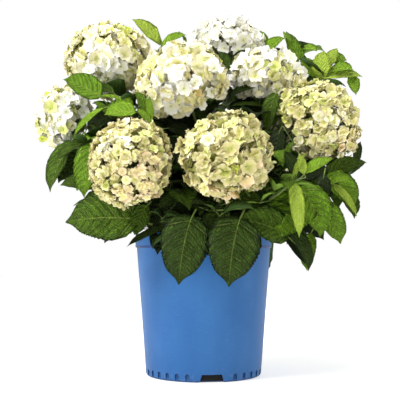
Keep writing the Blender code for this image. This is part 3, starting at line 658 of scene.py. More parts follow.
def pot_finish():
    """Moulded blue plastic: satin, with a fine grain, faint flow streaks and scuffs near foot and rim.

    Painted shade darkens the corner under the rim and the foot's slots, which are where
    the surface is nearer the axis than the tapered wall at that height, and painted shadow
    lies in a thin line along the foot where it meets the floor.
    """
    f = Finish("moulded_plastic", 0.38, Specular_IOR_Level=0.26)
    place = f.solid_place()
    height = f.height(place)
    cloud = f.noise(place, 14.0, 3.0)
    flow = f.streaks(place, (34, 34, 5), 3.0)
    grain = f.noise(place, 1900.0, 1.0)
    scratches = f.streaks(place, (90, 90, 900)).rise(0.66, 0.72)
    foot = 1 - height.rise(0.002, 0.020)
    rim = height.rise(POT_HEIGHT - 0.0015, POT_HEIGHT)
    worn = (foot * 0.35 + rim) * f.noise(place, 160.0, 4.0).rise(0.50, 0.62)
    # Painted shade in the corner under the rim's overhang.
    rim_shade = 1 - abs(height - (POT_HEIGHT - RIM_HEIGHT)).rise(0.0007, 0.0026)
    wall = BASE_RADIUS + height * (wall_radius(1) - wall_radius(0))
    # Painted shade in the foot's slots, where the surface lies nearer the axis than the wall.
    slot_shade = (wall - f.reach(f.stretched(place, (1, 1, 0)))).rise(0.0002, 0.0008)
    over = height.rise(SLOT_HEIGHT + 0.0005, SLOT_HEIGHT + 0.0020)
    slot_shade = slot_shade * (1 - over) * height.rise(0.003, 0.005)
    # Painted shadow in a thin band where the foot meets the floor.
    contact_shadow = 1 - height.rise(0.0008, 0.0042)
    body = f.mix(cloud.rise(0.35, 0.7) * 0.5 + flow.rise(0.4, 0.7) * 0.3,
                 paint(38, 94, 154), paint(49, 106, 165))
    body = f.mix(worn * 0.5, body, paint(140, 172, 212))
    body = f.mix(scratches * 0.12, body, paint(150, 180, 220))
    # A dark blue line of painted shade under the rim.
    body = f.mix(rim_shade * 0.9, body, paint(8, 32, 92))
    # Dark blue painted shade in the slots, and painted shadow along the foot's edge on the floor.
    body = f.mix((slot_shade * 0.62).most(contact_shadow * 0.75), body, paint(8, 30, 80))
    return f.done(Base_Color=body, Roughness=0.42 + grain * 0.08 + worn * 0.25 + scratches * 0.15,
                  Normal=f.bump(grain, 0.0002, 0.35))


# ---- pot, potting mix and stool ----
def wall_radius(height):
    """Outer radius of the pot's tapered body at this height."""
    share = height / (POT_HEIGHT - RIM_HEIGHT)
    return BASE_RADIUS + (BODY_TOP_RADIUS - BASE_RADIUS) * share


def fillet(centre, radius, first, last):
    """Points of an arc about centre, between two angles in degrees."""
    a = np.radians(np.linspace(first, last, FILLET_STEPS))
    return np.stack([centre[0] + radius * np.cos(a), centre[1] + radius * np.sin(a)], -1)


def turned(profile, columns):
    """A solid of revolution: each (radius, height) of the profile carried round the axis.

    The profile starts and ends near the axis, and a fan closes each end.
    """
    radius, height = np.asarray(profile).T[..., None]
    return around(radius, circle(columns), height).reshape(-1, 3), shell_faces(len(profile), columns)


def plain_part(points, faces):
    """A part of a piece that has one finish and needs no flat map."""
    pattern = Pattern(faces, np.zeros(len(faces), int), np.zeros((len(points), 2)))
    return pattern.copies(points[None])


def foot_cutter(angle, outline, near, far):
    """A prism with this outline (across, up), from near to far of the pot's axis at this angle."""
    a = math.radians(angle)
    out, side = np.array([math.cos(a), math.sin(a), 0]), np.array([-math.sin(a), math.cos(a), 0])
    outline = np.asarray(outline)
    flat = outline[:, :1] * side + outline[:, 1:] * np.array([0, 0, 1.0])
    points = np.concatenate([flat + out * far, flat + out * near])
    count = len(outline)
    ring = np.arange(count)
    sides = np.stack([np.roll(ring, -1), ring, ring + count, np.roll(ring, -1) + count], -1)
    return plain_part(points, [ring, ring[::-1] + count, *sides])


def build_pot():
    """The nursery pot: a tapered body with rounded foot and rolled rim, notched and slotted."""
    neck, lip, under = POT_HEIGHT - RIM_HEIGHT, LIP_ROUNDING, NECK_ROUNDING
    foot = fillet((wall_radius(BASE_ROUNDING) - BASE_ROUNDING, BASE_ROUNDING), BASE_ROUNDING, -90, 0)
    rise = np.linspace(BASE_ROUNDING + 0.002, neck - under, 26)
    profile = np.concatenate([
        [(0.002, 0.0), (0.5 * BASE_RADIUS, 0.0)], foot, np.stack([wall_radius(rise), rise], -1),
        fillet((BODY_TOP_RADIUS + under, neck - under), under, 180, 90),
        fillet((RIM_RADIUS - RIM_ROUNDING, neck + RIM_ROUNDING), RIM_ROUNDING, -90, 0),
        fillet((RIM_RADIUS - lip, POT_HEIGHT - lip), lip, 0, 90),
        fillet((RIM_RADIUS - WALL - 0.0002, POT_HEIGHT - lip), lip, 90, 180),
        [(wall_radius(neck) - WALL, neck - 0.004), (wall_radius(FLOOR) - WALL, FLOOR), (0.002, FLOOR)],
    ])
    plastic = pot_finish()
    pot = build_piece("pot_shell", [plain_part(*turned(profile, POT_COLUMNS))], [plastic])
    half, outside = SLOT_WIDTH / 2, 1.1 * BASE_RADIUS
    slot = [(-half, -0.002), (half, -0.002)]
    arch = np.linspace(0, np.pi, 9)
    slot += [(half * math.cos(t), SLOT_HEIGHT - half + half * math.sin(t)) for t in arch]
    notch = [(-NOTCH_BOTTOM / 2, -NOTCH_HEIGHT), (NOTCH_BOTTOM / 2, -NOTCH_HEIGHT),
             (NOTCH_TOP / 2, NOTCH_HEIGHT), (-NOTCH_TOP / 2, NOTCH_HEIGHT)]
    cutters = []
    for n in range(NOTCHES):
        turn = NOTCH_TURN + 360 / NOTCHES * n
        cutters.append(foot_cutter(turn, notch, 0.88 * BASE_RADIUS, outside))
        for k in range(SLOTS_BETWEEN):
            angle = turn + 180 / NOTCHES + SLOT_STEP * (k - (SLOTS_BETWEEN - 1) / 2)
            cutters.append(foot_cutter(angle, slot, BASE_RADIUS - SLOT_DEPTH, outside))
    cutter = build_piece("foot_cutter", cutters, [plastic])
    cut = pot.modifiers.new("foot", "BOOLEAN")
    cut.operation, cut.object, cut.solver = "DIFFERENCE", cutter, "EXACT"
    made = bpy.data.meshes.new_from_object(pot.evaluated_get(bpy.context.evaluated_depsgraph_get()))
    pot.modifiers.clear()
    pot.data = made
    bpy.data.objects.remove(cutter)
    made.shade_smooth()
    made.set_sharp_from_angle(angle=math.radians(32))
    settle(pot, "pot", "pot")


def crumbled(points, seed, size, depth):
    """Points moved up and down by a sum of seeded waves, for uneven ground: size is a wave's length."""
    rng = np.random.default_rng(seed)
    ways = rng.normal(size=(14, 2)) * 2 * np.pi / size
    phases = rng.uniform(0, 2 * np.pi, 14)
    lift = np.sin(points[:, :2] @ ways.T + phases).mean(1)
    return points + np.outer(lift * depth * 2, [0, 0, 1.0])


def build_mix():
    """Potting mix: an uneven top with bark chips pressed into it, on a plain body."""
    rng = np.random.default_rng(5)
    low, slack = FLOOR + GAP, WALL + 2 * GAP
    edge = wall_radius(SOIL_TOP) - slack
    radii = np.concatenate([[0.001], np.linspace(0.006, edge, 26)])
    flat = around(radii[:, None], circle(MIX_COLUMNS), SOIL_TOP - 0.0005).reshape(-1, 3)
    top = crumbled(crumbled(flat, 3, 0.045, 0.0014), 4, 0.012, 0.0009)
    points = np.concatenate([top, around(wall_radius(low) - slack, circle(MIX_COLUMNS), low)])
    parts = [plain_part(points, [face[::-1] for face in shell_faces(len(radii) + 1, MIX_COLUMNS)])]

    box = np.array([(x, y, z) for z in (-1, 1) for y in (-1, 1) for x in (-1, 1)], float)
    reach, turn = edge * np.sqrt(rng.uniform(0.08, 0.95, CHIPS)), rng.uniform(0, 2 * np.pi, CHIPS)
    place = around(reach, turn, SOIL_TOP + rng.uniform(-0.0012, 0.0012, CHIPS))
    size = rng.uniform(0.0015, 0.0050, (CHIPS, 1)) * np.array([[1, 0.6, 0.28]])
    shape = box[None] * size[:, None] * rng.uniform(0.6, 1.1, (CHIPS, 8, 1))
    spin, tip = rng.uniform(0, 2 * np.pi, (CHIPS, 1)), rng.normal(0, 0.25, (CHIPS, 2))
    x, y, z = np.moveaxis(shape, -1, 0)
    x, y = x * np.cos(spin) - y * np.sin(spin), x * np.sin(spin) + y * np.cos(spin)
    chips = place[:, None] + np.stack([x, y, z + x * tip[:, :1] + y * tip[:, 1:]], -1)
    sides = [(0, 2, 3, 1), (4, 5, 7, 6), (0, 1, 5, 4), (2, 6, 7, 3), (0, 4, 6, 2), (1, 3, 7, 5)]
    tint = rng.choice([1, 2, 3], CHIPS, p=[0.5, 0.36, 0.14])
    parts.append(Pattern(sides, np.zeros(6, int), np.zeros((8, 2))).copies(chips, tint[:, None]))
    finishes = [
        mix_finish("potting_mix", paint(28, 20, 14), paint(62, 46, 32)),
        mix_finish("dark_chip", paint(46, 30, 20), paint(84, 58, 38)),
        mix_finish("brown_chip", paint(82, 56, 36), paint(128, 94, 62)),
        mix_finish("pale_chip", paint(128, 104, 76), paint(168, 146, 112)),
    ]
    piece = build_piece("potting_mix_crumbs", parts, finishes, sharp=40)
    settle(piece, "potting_mix", "potting_mix")


def build_stool(bark):
    """The woody stool: a flared dome with knuckles where old canes were cut.

    Two waves that wind up it sink its surface here and there, by their depth times the cosine of
    the dome's angle.
    """
    lift = np.radians(np.concatenate([[-24], np.linspace(-4, 88, 22)]))[:, None]
    radius = STOOL_RADIUS * np.cos(lift)
    height = STOOL_CENTRE + STOOL_RADIUS * np.sin(lift)
    radius[0], height[0] = STOOL_FLARE, SOIL_TOP + GAP
    a = circle(96)
    waves = 0.0011 * np.sin(5 * a + 9 * lift) + 0.0008 * np.sin(11 * a - 17 * lift)
    radius = radius + np.minimum(waves - 0.0012, 0) * np.cos(lift)
    part = plain_part(around(radius, a, height).reshape(-1, 3), shell_faces(len(lift), len(a)))
    settle(build_piece("stool_bark", [part], [bark]), "bark", "stool")


# ---- the plant's plan, as the frame has it ----
def head_place(name):
    """The centre of a shoot's flower head, and the way it faces."""
    azimuth, reach, height, _, lift, _ = FLOWERING[name]
    return on_cylinder(azimuth, reach, height), heading(azimuth, lift)


def stem_tip(name):
    """Where a shoot's stem ends, and the way it points there."""
    if name in LEAFY:
        azimuth, reach, height, lift = LEAFY[name][:4]
        return on_cylinder(azimuth, reach, height), heading(azimuth, lift)
    centre, axis = head_place(name)
    return centre - (0.5 * BLOOM_FLATNESS * FLOWERING[name][3] + NECK) * axis, axis


def start_ways():
    """The way each stem leaves the dome: more splayed than the way to its tip, and none crowded.

    Where two ways are nearer than START_SPACING, round after round pushes them apart by a share of
    what they lack.
    """
    ways = {}
    for name in [*FLOWERING, *LEAFY]:
        away = stem_tip(name)[0] - Vector((0, 0, STOOL_CENTRE))
        lean = 90 - math.degrees(math.atan2(away.z, math.hypot(away.x, away.y)))
        ways[name] = heading(azimuth_of(away), max(LOWEST_START, 90 - SPLAY * lean))
    names, wanted = list(ways), math.radians(START_SPACING)
    for _ in range(START_ROUNDS):
        for i, one in enumerate(names):
            for two in names[i + 1:]:
                lack = wanted - ways[one].angle(ways[two])
                if lack > 0:
                    push = START_PUSH * lack * (ways[one] - ways[two]).normalized()
                    ways[one] = (ways[one] + push).normalized()
                    ways[two] = (ways[two] - push).normalized()
        for name, way in ways.items():
            way.z = max(way.z, math.sin(math.radians(LOWEST_START)))
            ways[name] = way.normalized()
    return ways


def cubic(ends, t):
    """The point at share t of an arc through its four control points, weighed as a cubic."""
    p0, p1, p2, p3 = ends
    s = 1 - t
    return s**3 * p0 + 3 * s * s * t * p1 + 3 * s * t * t * p2 + t**3 * p3


class Stem:
    """One shoot's stem: an arc that leaves square to the stool's dome and ends at its tip."""

    def __init__(self, name, start_way):
        self.name = name
        tip, tip_way = stem_tip(name)
        start = Vector((0, 0, STOOL_CENTRE)) + start_way * (STOOL_RADIUS + GAP)
        bow = STEM_BOW * (tip - start).length
        self.ends = start, start + bow * start_way, tip - bow * tip_way, tip
        marks = [cubic(self.ends, i / 32) for i in range(33)]
        self.length = sum((b - a).length for a, b in zip(marks, marks[1:]))
        if name in FLOWERING:
            self.fork = 1 - min(LEAFY_LENGTH / self.length, LEAFY_SHARE)
            turn, sizes = FLOWERING[name][5], PAIR_SIZES
        else:
            self.fork = 0.0
            *_, pairs, size, turn = LEAFY[name]
            sizes = [size * (0.84 + 0.12 * k) for k in range(pairs)]
        spacing = PAIR_SPACING * min(1, sizes[0])
        self.pairs = []
        for k, size in enumerate(sizes):
            share = 1 - (TOP_PAIR + spacing * k) / self.length
            if share > self.fork + 0.02:
                self.pairs.append((share, turn + 90 * k, LEAF_LENGTH * size))

    def at(self, t):
        """Point and unit tangent at share t of the arc."""
        p0, p1, p2, p3 = self.ends
        s = 1 - t
        along = s * s * (p1 - p0) + 2 * s * t * (p2 - p1) + t * t * (p3 - p2)
        return cubic(self.ends, t), along.normalized()

    def arc(self, shares):
        """The arc's points at an array of shares."""
        return cubic([np.array(end) for end in self.ends], shares[:, None])


def petiole(length, azimuth, lift):
    """From the stem to the foot of a leaf: a share of its length, a little steeper than its midrib."""
    return PETIOLE_SHARE * length * heading(azimuth, min(lift + PETIOLE_RISE, PETIOLE_STEEPEST))


class Leaf:
    """One leaf's pose: where its petiole leaves the stem, and the arc of its midrib.

    Its place is its shoot's name, the number of its pair, and its side of it: 0, 1, side or own.
    """

    def __init__(self, place, root, azimuth, lift, droop, length, width, roll, fold):
        self.place, self.root, self.length, self.width = place, root, length, width
        self.lift, self.droop = math.radians(lift), math.radians(max(droop, 1.0))
        self.roll, self.fold = math.radians(roll), math.radians(fold)
        self.out = heading(azimuth, 0)
        self.base = root + petiole(length, azimuth, lift)

    def along(self, u):
        """Point on the midrib at this share of its length: an arc that droops from its lift."""
        dip = self.lift - self.droop * u
        along = (math.sin(self.lift) - math.sin(dip)) / self.droop
        rise = (math.cos(dip) - math.cos(self.lift)) / self.droop
        return self.base + self.length * Vector((along * self.out.x, along * self.out.y, rise))


def leaf_tries(stem, place):
    """The poses a leaf tries, in order: the rule's own first, then seeded ones that swing from it.

    Try k swings up to 8 k degrees to a side, at most 75, tilts up to 6 k, at most 45, and shrinks by
    up to 0.3. A leaf with a pose of its own first tries it with small swings.
    """
    _, pair, side = place
    share, turn, length = stem.pairs[pair]
    root, along = stem.at(share)
    rng = random.Random(f"{stem.name} {pair} {side}")
    outward = square_to(along, heading(turn + 180 * side, 0))
    spread = math.radians(LEAF_SPREAD)
    way = (math.sin(spread) * outward + math.cos(spread) * along).normalized()
    azimuth, lift = azimuth_of(way), min(40.0, max(-30.0, math.degrees(math.asin(way.z)) - 8))
    own = OWN_POSES.get(place)
    for k in range(TRIES):
        swing, tilt, flip = rng.uniform(-1, 1), rng.uniform(-1, 1), rng.uniform(-1, 1)
        size = length * (1 - 0.3 * k / TRIES) * rng.uniform(0.95, 1.05)
        droop, fold, wide = rng.uniform(30, 65), rng.uniform(10, 24), rng.uniform(0.93, 1.06)
        if own and k < OWN_TRIES:
            turn, rise, droop, size, share, roll, _ = own
            size *= 1 - 0.03 * k
            yield Leaf(place, root, turn + 2.5 * k * swing, rise + 2.5 * k * tilt, droop, size,
                       size * share, roll + 3 * k * flip, fold / 2)
            continue
        turn, rise = azimuth + min(8 * k, 75) * swing, lift + min(6 * k, 45) * tilt
        width = size * LEAF_WIDTH_SHARE * wide
        yield Leaf(place, root, turn, max(rise, -70), droop, size, width, 18 * flip, fold)


def head_radius(diameter, axis_share):
    """Distance from a head's centre to its surface, where axis_share is the cosine to its axis.

    The surface is an ellipsoid, BLOOM_FLATNESS as long along its axis as across it.
    """
    across = diameter / 2
    return 1 / np.sqrt((axis_share / (BLOOM_FLATNESS * across)) ** 2 + (1 - axis_share**2) / across**2)


def packed_corners(node):
    """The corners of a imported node's mesh."""
    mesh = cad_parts[node].data
    corners = np.empty(3 * len(mesh.vertices))
    mesh.vertices.foreach_get("co", corners)
    return corners.reshape(-1, 3)


def kept_leaf(stem, place, corners):
    """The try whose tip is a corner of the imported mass, or None where the frame skipped the place."""
    for leaf in leaf_tries(stem, place):
        if np.abs(corners - np.array(leaf.along(1))).max(1).min() < MATCH:
            return leaf
    return None


def gathered(leaves, *keys):
    """These values of all leaves, as an array for each."""
    return (np.array([getattr(leaf, key) for leaf in leaves]) for key in keys)


# ---- leaves ----
def half_width(u):
    """Half width of a leaf of width 1 at share u of its length: u^a (1 - u)^b over its peak.

    Near the end it is drawn in to a drip tip.
    """
    a, b = WIDEST_NEAR_BASE, WIDEST_NEAR_TIP
    peak = (a / (a + b)) ** a * (b / (a + b)) ** b
    return 0.5 * u**a * (1 - u) ** b / peak * (1 - DRIP_TIP * smooth(u, 0.80, 0.97))


def leaf_pattern(rows, columns):
    """A leaf's faces, and for each of its points: place along and across, swell and sink.

    Rows of the blade follow the side veins, which sweep forward from the midrib: at row share s a
    point at share c of the half width lies at s plus VEIN_SWEEP (1 - s) (1 - e^(-10 s)) |c|^1.15 of
    the length. A fine blade swells by cos(2 pi SIDE_VEINS s), most between midrib and margin, whose
    rows go out and in by turns for teeth. A lower face hangs from it, thickest under the midrib.
    """
    s, c = np.meshgrid(np.linspace(0, 1, rows + 1), columns, indexing="ij")
    bow = np.sin(np.pi * np.clip(s, 0.02, 0.98))
    swell = np.cos(2 * np.pi * SIDE_VEINS * s) * np.abs(c) ** 0.5 * (1 - np.abs(c) ** 3) * bow**0.4
    swell *= rows > 2 * SIDE_VEINS
    tooth = TOOTH * np.where(np.arange(rows + 1) % 2, 1, -1)[:, None] * (np.abs(c) == 1) * bow**0.5
    sweep = VEIN_SWEEP * (1 - s) * (1 - np.exp(-10 * s)) * np.abs(c) ** 1.15
    under, none = s[:, 0], np.zeros(rows + 1)
    u = BLADE_START + (BLADE_END - BLADE_START) * np.append(s + sweep, under)
    v = np.append(c * (1 + tooth), none)
    lift, sink = np.append(swell, none), np.append(0 * s, none + 1)
    places = np.stack([0.5 + 0.5 * np.append(c, none), np.append(s, 0.02 + 0.96 * under)], -1)

    point = np.arange(s.size).reshape(s.shape)
    rib = s.size + np.arange(rows + 1)
    left = np.stack([point[:-1, 0], point[1:, 0], rib[1:], rib[:-1]], -1)
    right = np.stack([rib[:-1], rib[1:], point[1:, -1], point[:-1, -1]], -1)
    faces = [*grid_faces(*s.shape), *left, *right, (*point[0][::-1], rib[0]), (*point[-1], rib[-1])]
    slots = [0] * (rows * (len(columns) - 1)) + [1] * (2 * rows + 2)
    return Pattern(faces, slots, places), u, v, lift, sink


def leaf_points(leaves, u, v, lift, sink, seed):
    """Points of every leaf at once, as (leaf, point, xyz).

    The midrib is an arc from the leaf's lift, less its droop times u, and its end hooks down by the
    square of u past HOOK. Across it the blade rises by |across| (1 - EDGE_CURL |v|) sin(fold), and
    it twists a little along its length. Towards its edge it waves by v^2 sin(3.2 pi u + a seeded
    phase) (1 - u)^0.3.
    """
    rng = np.random.default_rng(seed)
    column = lambda values: values[:, None]
    seeded = lambda low, high: column(rng.uniform(low, high, len(leaves)))
    angle, droop, length, width, fold, roll = (
        column(rows) for rows in gathered(leaves, "lift", "droop", "length", "width", "fold", "roll"))
    base, out = gathered(leaves, "base", "out")
    up = np.array([0, 0, 1.0])
    fold = FOLDING * fold
    dip = angle - droop * u
    forward = length * (np.sin(angle) - np.sin(dip)) / droop
    rise = length * (np.cos(dip) - np.cos(angle)) / droop
    middle = base[:, None] + forward[..., None] * out[:, None] + rise[..., None] * up
    hook = np.clip(u - HOOK, 0, 1) ** 2 * length * seeded(0.3, 2.2)
    side = np.stack([out[:, 1], -out[:, 0], np.zeros(len(leaves))], -1)[:, None]
    normal = np.cos(dip)[..., None] * up - np.sin(dip)[..., None] * out[:, None]
    twist = roll + column(rng.normal(0, 0.10, len(leaves))) * (u - 0.4)
    c, s = np.cos(twist)[..., None], np.sin(twist)[..., None]
    side, normal = c * side + s * normal, c * normal - s * side
    across = v * width * half_width(np.clip(u, 0, 1))
    raised = np.abs(across) * (1 - EDGE_CURL * np.abs(v)) * np.sin(fold)
    phase, wave = seeded(0, 2 * np.pi), seeded(0.012, 0.034) * width
    ripple = np.sin(2 * np.pi * 1.6 * u + phase + 1.3 * np.sign(v))
    raised = raised + wave * v**2 * ripple * (1 - u) ** 0.3
    raised = raised + QUILTING * width * lift - sink * RIB_DEPTH * (1.1 - u) - hook
    return middle + (across * np.cos(fold))[..., None] * side + raised[..., None] * normal


def tubes(paths, radii, sides, slot=0):
    """Tapered tubes, as one part: paths (tube, station, xyz) and radii (tube, station).

    A ring of sides points stands square to each station's tangent, and a fan closes each end. On
    the flat map the rings lie inside one another.
    """
    tangent = unit(np.gradient(paths, axis=1))
    near = np.broadcast_to(np.array([0.31, 0.95, 0.05]), tangent.shape)  # no tube runs this way
    side = unit(near - tangent * (near * tangent).sum(-1, keepdims=True))
    other = np.cross(tangent, side)
    a = circle(sides)[:, None]
    rings = np.cos(a) * side[:, :, None] + np.sin(a) * other[:, :, None]
    points = paths[:, :, None] + radii[:, :, None, None] * rings
    faces = shell_faces(paths.shape[1], sides)
    shrink = np.linspace(0.46, 0.12, paths.shape[1])[:, None, None]
    disc = 0.5 + shrink * np.concatenate([np.cos(a), np.sin(a)], 1)
    pattern = Pattern(faces, np.full(len(faces), slot), disc.reshape(-1, 2))
    return pattern.copies(points.reshape(len(paths), -1, 3))


def thin_tubes(paths, first, last, sides):
    """Tubes that all taper alike, from the first radius to the last."""
    radii = np.tile(np.linspace(first, last, paths.shape[1]), (len(paths), 1))
    return tubes(paths, radii, sides)


def petioles(leaves, slot):
    """The stalk of each leaf: a short arc from inside the stem to the foot of the blade."""
    root, base, length = gathered(leaves, "root", "base", "length")
    inner = np.array([leaf.along(0.10) for leaf in leaves])
    path = bowed(root[:, None], base[:, None], inner[:, None], np.linspace(0, 1, 5)[:, None])
    path[:, -1, 2] -= 0.0006
    return tubes(path, length[:, None] * np.linspace(0.017, 0.008, 5), 5, slot)


# ---- where there is room ----
def blade_marks(*leaves):
    """Points along the middle of each leaf and at its tip."""
    return np.array([leaf.along(u) for leaf in leaves for u in (0.15, 0.4, 0.65, 0.85, 1.0)])


def room(marks, taken):
    """Distance from the nearest mark to what is taken, and 0 inside a flower head."""
    gap = np.linalg.norm(marks[:, None] - taken[None], axis=-1).min()
    for name in FLOWERING:
        centre, axis = (np.array(part) for part in head_place(name))
        away = marks - centre
        reach = np.linalg.norm(away, axis=1)
        if (reach < head_radius(FLOWERING[name][3], (away @ axis) / reach)).any():
            return 0.0
    return gap


# ---- flower heads ----
def sepal_pattern():
    """One sepal's faces, and each point's place: a along it from 0 to 1, b across it from -1 to 1."""
    along, across = np.linspace(0.03, 1, SEPAL_ROWS + 1), np.linspace(-1, 1, SEPAL_COLUMNS + 1)
    a, b = (rows.ravel() for rows in np.meshgrid(along, across, indexing="ij"))
    faces = grid_faces(SEPAL_ROWS + 1, SEPAL_COLUMNS + 1)[:, ::-1]
    return Pattern(faces, np.zeros(len(faces), int), np.stack([0.5 + 0.5 * b, a], -1)), a, b


def sepal_points(centre, side, other, out, radius, turn, cup, seed):
    """Points of every sepal, as (sepal, point, xyz), four to each floret.

    At share a of its length a sepal is 0.08 + 0.68 sin(0.93 pi a^0.8)^0.7 of the radius wide to each
    side, and its corners are drawn back by b^2 a^3. It dishes by the floret's cup times a^1.4, curls
    back at its tip by a^4, turns up at its sides by b^2, and ruffles by a seeded wave.
    """
    rng = np.random.default_rng(seed)
    _, a, b = SEPAL
    count = len(centre)
    fourth = np.arange(4)[None, :, None]
    centre, side, other, out = (rows[:, None, None] for rows in (centre, side, other, out))
    radius, turn, cup = (rows[:, None, None] for rows in (radius, turn, cup))
    spread = lambda low, high: rng.uniform(low, high, (count, 4, 1))
    angle = turn + np.pi / 2 * fourth + spread(-0.26, 0.26)
    size = radius * spread(0.74, 1.22)
    forward = size * (a - 0.26 * b**2 * a**3)
    across = size * b * (0.08 + 0.68 * np.sin(0.93 * np.pi * a**0.8) ** 0.7) * spread(0.88, 1.12)
    tilt = cup + spread(-0.22, 0.22)
    high = tilt * a**1.4 - spread(0.05, 0.38) * a**4 + spread(-0.10, 0.26) * b**2 * a
    high = high + spread(0.04, 0.17) * np.sin(3.4 * b + spread(0, 6.3)) * a**2 + 0.06 * (fourth % 2)
    forward = forward * np.cos(0.8 * tilt)
    c, s = np.cos(angle)[..., None], np.sin(angle)[..., None]
    points = (centre + forward[..., None] * (c * side + s * other)
              + across[..., None] * (c * other - s * side) + (size * high)[..., None] * out)
    return points.reshape(count * 4, len(a), 3)


SEPAL = sepal_pattern()

# The tints of sepals, by name: heart, body and edge.
SEPAL_TINTS = {
    "white": (paint(238, 240, 196), paint(254, 252, 242), paint(255, 255, 250)),
    "ivory": (paint(216, 218, 138), paint(244, 237, 200), paint(251, 247, 226)),
    "cream": (paint(204, 206, 108), paint(238, 227, 166), paint(247, 240, 202)),
    # A darker cream that partly paints the weaker light on the lower and side heads.
    "buff": (paint(172, 178, 84), paint(212, 202, 142), paint(228, 219, 174)),
    "pale_lime": (paint(182, 198, 82), paint(228, 228, 148), paint(240, 240, 190)),
    "lime": (paint(160, 182, 44), paint(212, 216, 96), paint(228, 230, 138)),
    "blush": (paint(212, 196, 124), paint(236, 212, 166), paint(246, 230, 200)),
    "tan": (paint(176, 156, 74), paint(218, 190, 120), paint(234, 212, 158)),
    "moss": (paint(130, 140, 48), paint(178, 180, 92), paint(200, 202, 118)),
}
# Each head: floret radius, how ragged it is, its height beside the solid's, the cosine to its axis
# down to which it has florets, its usual tints with their shares, and its patches: the way a patch
# lies, its half angle, its tints, and the size of its florets beside the others.
# The usual tints partly paint how the light falls: upper heads nearly all white, lower front ones mostly
# the darker cream.
HEADS = {
    "top_left": (0.0116, 0.8, 0.98, -0.92, {"cream": 4, "ivory": 4, "white": 3, "pale_lime": 1.5}, [
        ((0.35, -0.60, 0.65), 24, {"lime": 2, "pale_lime": 1}, 0.7),
        ((0.10, -0.85, -0.35), 26, {"white": 2, "ivory": 1}, 1.25)]),
    "top_mid": (0.0148, 0.4, 0.97, -0.38, {"white": 12, "ivory": 1}, []),
    "centre_left": (0.0140, 0.9, 0.91, -0.60, {"ivory": 6, "white": 4, "cream": 2, "pale_lime": 0.6}, [
        ((0.75, -0.35, 0.50), 20, {"lime": 1, "pale_lime": 2}, 0.8),
        ((-0.80, -0.45, 0.10), 24, {"pale_lime": 2, "cream": 1}, 0.9),
        ((0.55, -0.60, -0.55), 30, {"tan": 1, "cream": 3}, 0.9)]),
    "mid_right": (0.0134, 0.7, 0.93, -0.80, {"cream": 1, "ivory": 6, "white": 7, "pale_lime": 0.6}, [
        ((0.15, -0.80, 0.10), 22, {"pale_lime": 3, "cream": 2}, 0.9)]),
    "right": (0.0098, 0.9, 1.0, -0.70, {"buff": 3, "cream": 4, "ivory": 3, "pale_lime": 1.5}, [
        ((-0.85, -0.35, 0.20), 24, {"lime": 1, "pale_lime": 2}, 1.0),
        ((0.10, -0.30, 0.95), 24, {"pale_lime": 2, "cream": 1}, 1.0),
        ((0.55, -0.55, -0.60), 26, {"blush": 1, "cream": 2}, 1.0)]),
    "front_left": (0.0090, 0.8, 1.0, -0.80, {"buff": 8, "cream": 2, "ivory": 0.5, "pale_lime": 0.6}, [
        ((-0.35, -0.75, 0.45), 30, {"white": 1, "ivory": 2, "cream": 2}, 1.0),
        ((0.35, -0.70, -0.60), 42, {"blush": 3, "cream": 3}, 1.0),
        ((0.75, -0.40, 0.45), 28, {"tan": 0.5, "pale_lime": 1, "buff": 1}, 1.0)]),
    "front_centre": (0.0122, 1.4, 0.92, -0.80, {"buff": 8, "cream": 2, "ivory": 1, "pale_lime": 1.5}, [
        ((-0.60, -0.45, 0.60), 34, {"pale_lime": 2, "cream": 2}, 1.0),
        ((0.20, -0.50, -0.80), 36, {"tan": 1, "blush": 2, "buff": 3}, 1.05),
        ((0.05, -0.85, -0.45), 12, {"lime": 1, "moss": 1}, 0.8)]),
    "far_left": (0.0124, 1.5, 1.0, -0.65, {"white": 5, "ivory": 2, "pale_lime": 0.5}, [
        ((-0.55, -0.25, 0.75), 34, {"lime": 1}, 0.55),
        ((-0.75, -0.20, -0.60), 40, {"lime": 1, "pale_lime": 2}, 0.6)]),
    "back_left": (0.0122, 0.6, 1.0, -0.70, {"cream": 4, "ivory": 3, "pale_lime": 1}, []),
    "back_right": (0.0132, 0.7, 1.0, -0.70, {"ivory": 4, "white": 3, "pale_lime": 1}, []),
    "back_centre": (0.0124, 0.6, 1.0, -0.75, {"cream": 4, "blush": 1, "ivory": 3}, []),
    "back_top": (0.0136, 0.7, 0.97, -0.60, {"white": 3, "ivory": 4, "cream": 2}, []),
}
# Where a head lies lower than its ball: the way, the half angle and the depth beside its radius.
DENTS = {
    "mid_right": [((-0.5, -0.3, -0.8), 55, 0.12)],
    "centre_left": [((0.85, -0.1, 0.45), 42, 0.12)],
    "top_left": [((0.1, 0.0, 1.0), 70, 0.08), ((0.2, -0.5, -0.8), 60, -0.05)],
    "front_centre": [((-0.62, -0.30, 0.75), 50, 0.15), ((0.75, -0.30, -0.62), 48, 0.16),
                     ((0.0, -0.1, -1.0), 60, 0.15), ((0.3, 0.0, 1.0), 55, 0.06),
                     ((0.95, -0.15, 0.20), 50, 0.12)],
}
# The three pieces of blossom.
BLOSSOM = {
    "blossom_upper": ("top_left", "top_mid", "centre_left", "mid_right"),
    "blossom_front": ("front_left", "front_centre", "right", "far_left"),
    "blossom_back": ("back_left", "back_right", "back_centre", "back_top"),
}
# Layers of a head: cover, for a head as wide as one floret's radius, and depth beside the outer layer.
LAYERS = ((1.60, 1.0), (0.80, 0.89), (0.35, 0.78))
# Tints of the inner layers, greener and darker to paint the shade deep in a head; pale heads get lighter
# ones.
INNERMOST = {"moss": 3, "pale_lime": 1, "buff": 1}
PALE_INNERMOST = {"pale_lime": 1, "ivory": 5}


def head_frame(name):
    """A head's centre and its own three axes, as arrays: two across it, and the way it faces."""
    centre, axis = head_place(name)
    side = square_to(axis, Vector((0.2, 0.1, 1)))
    return np.array(centre), np.array(side), np.array(axis.cross(side)), np.array(axis)


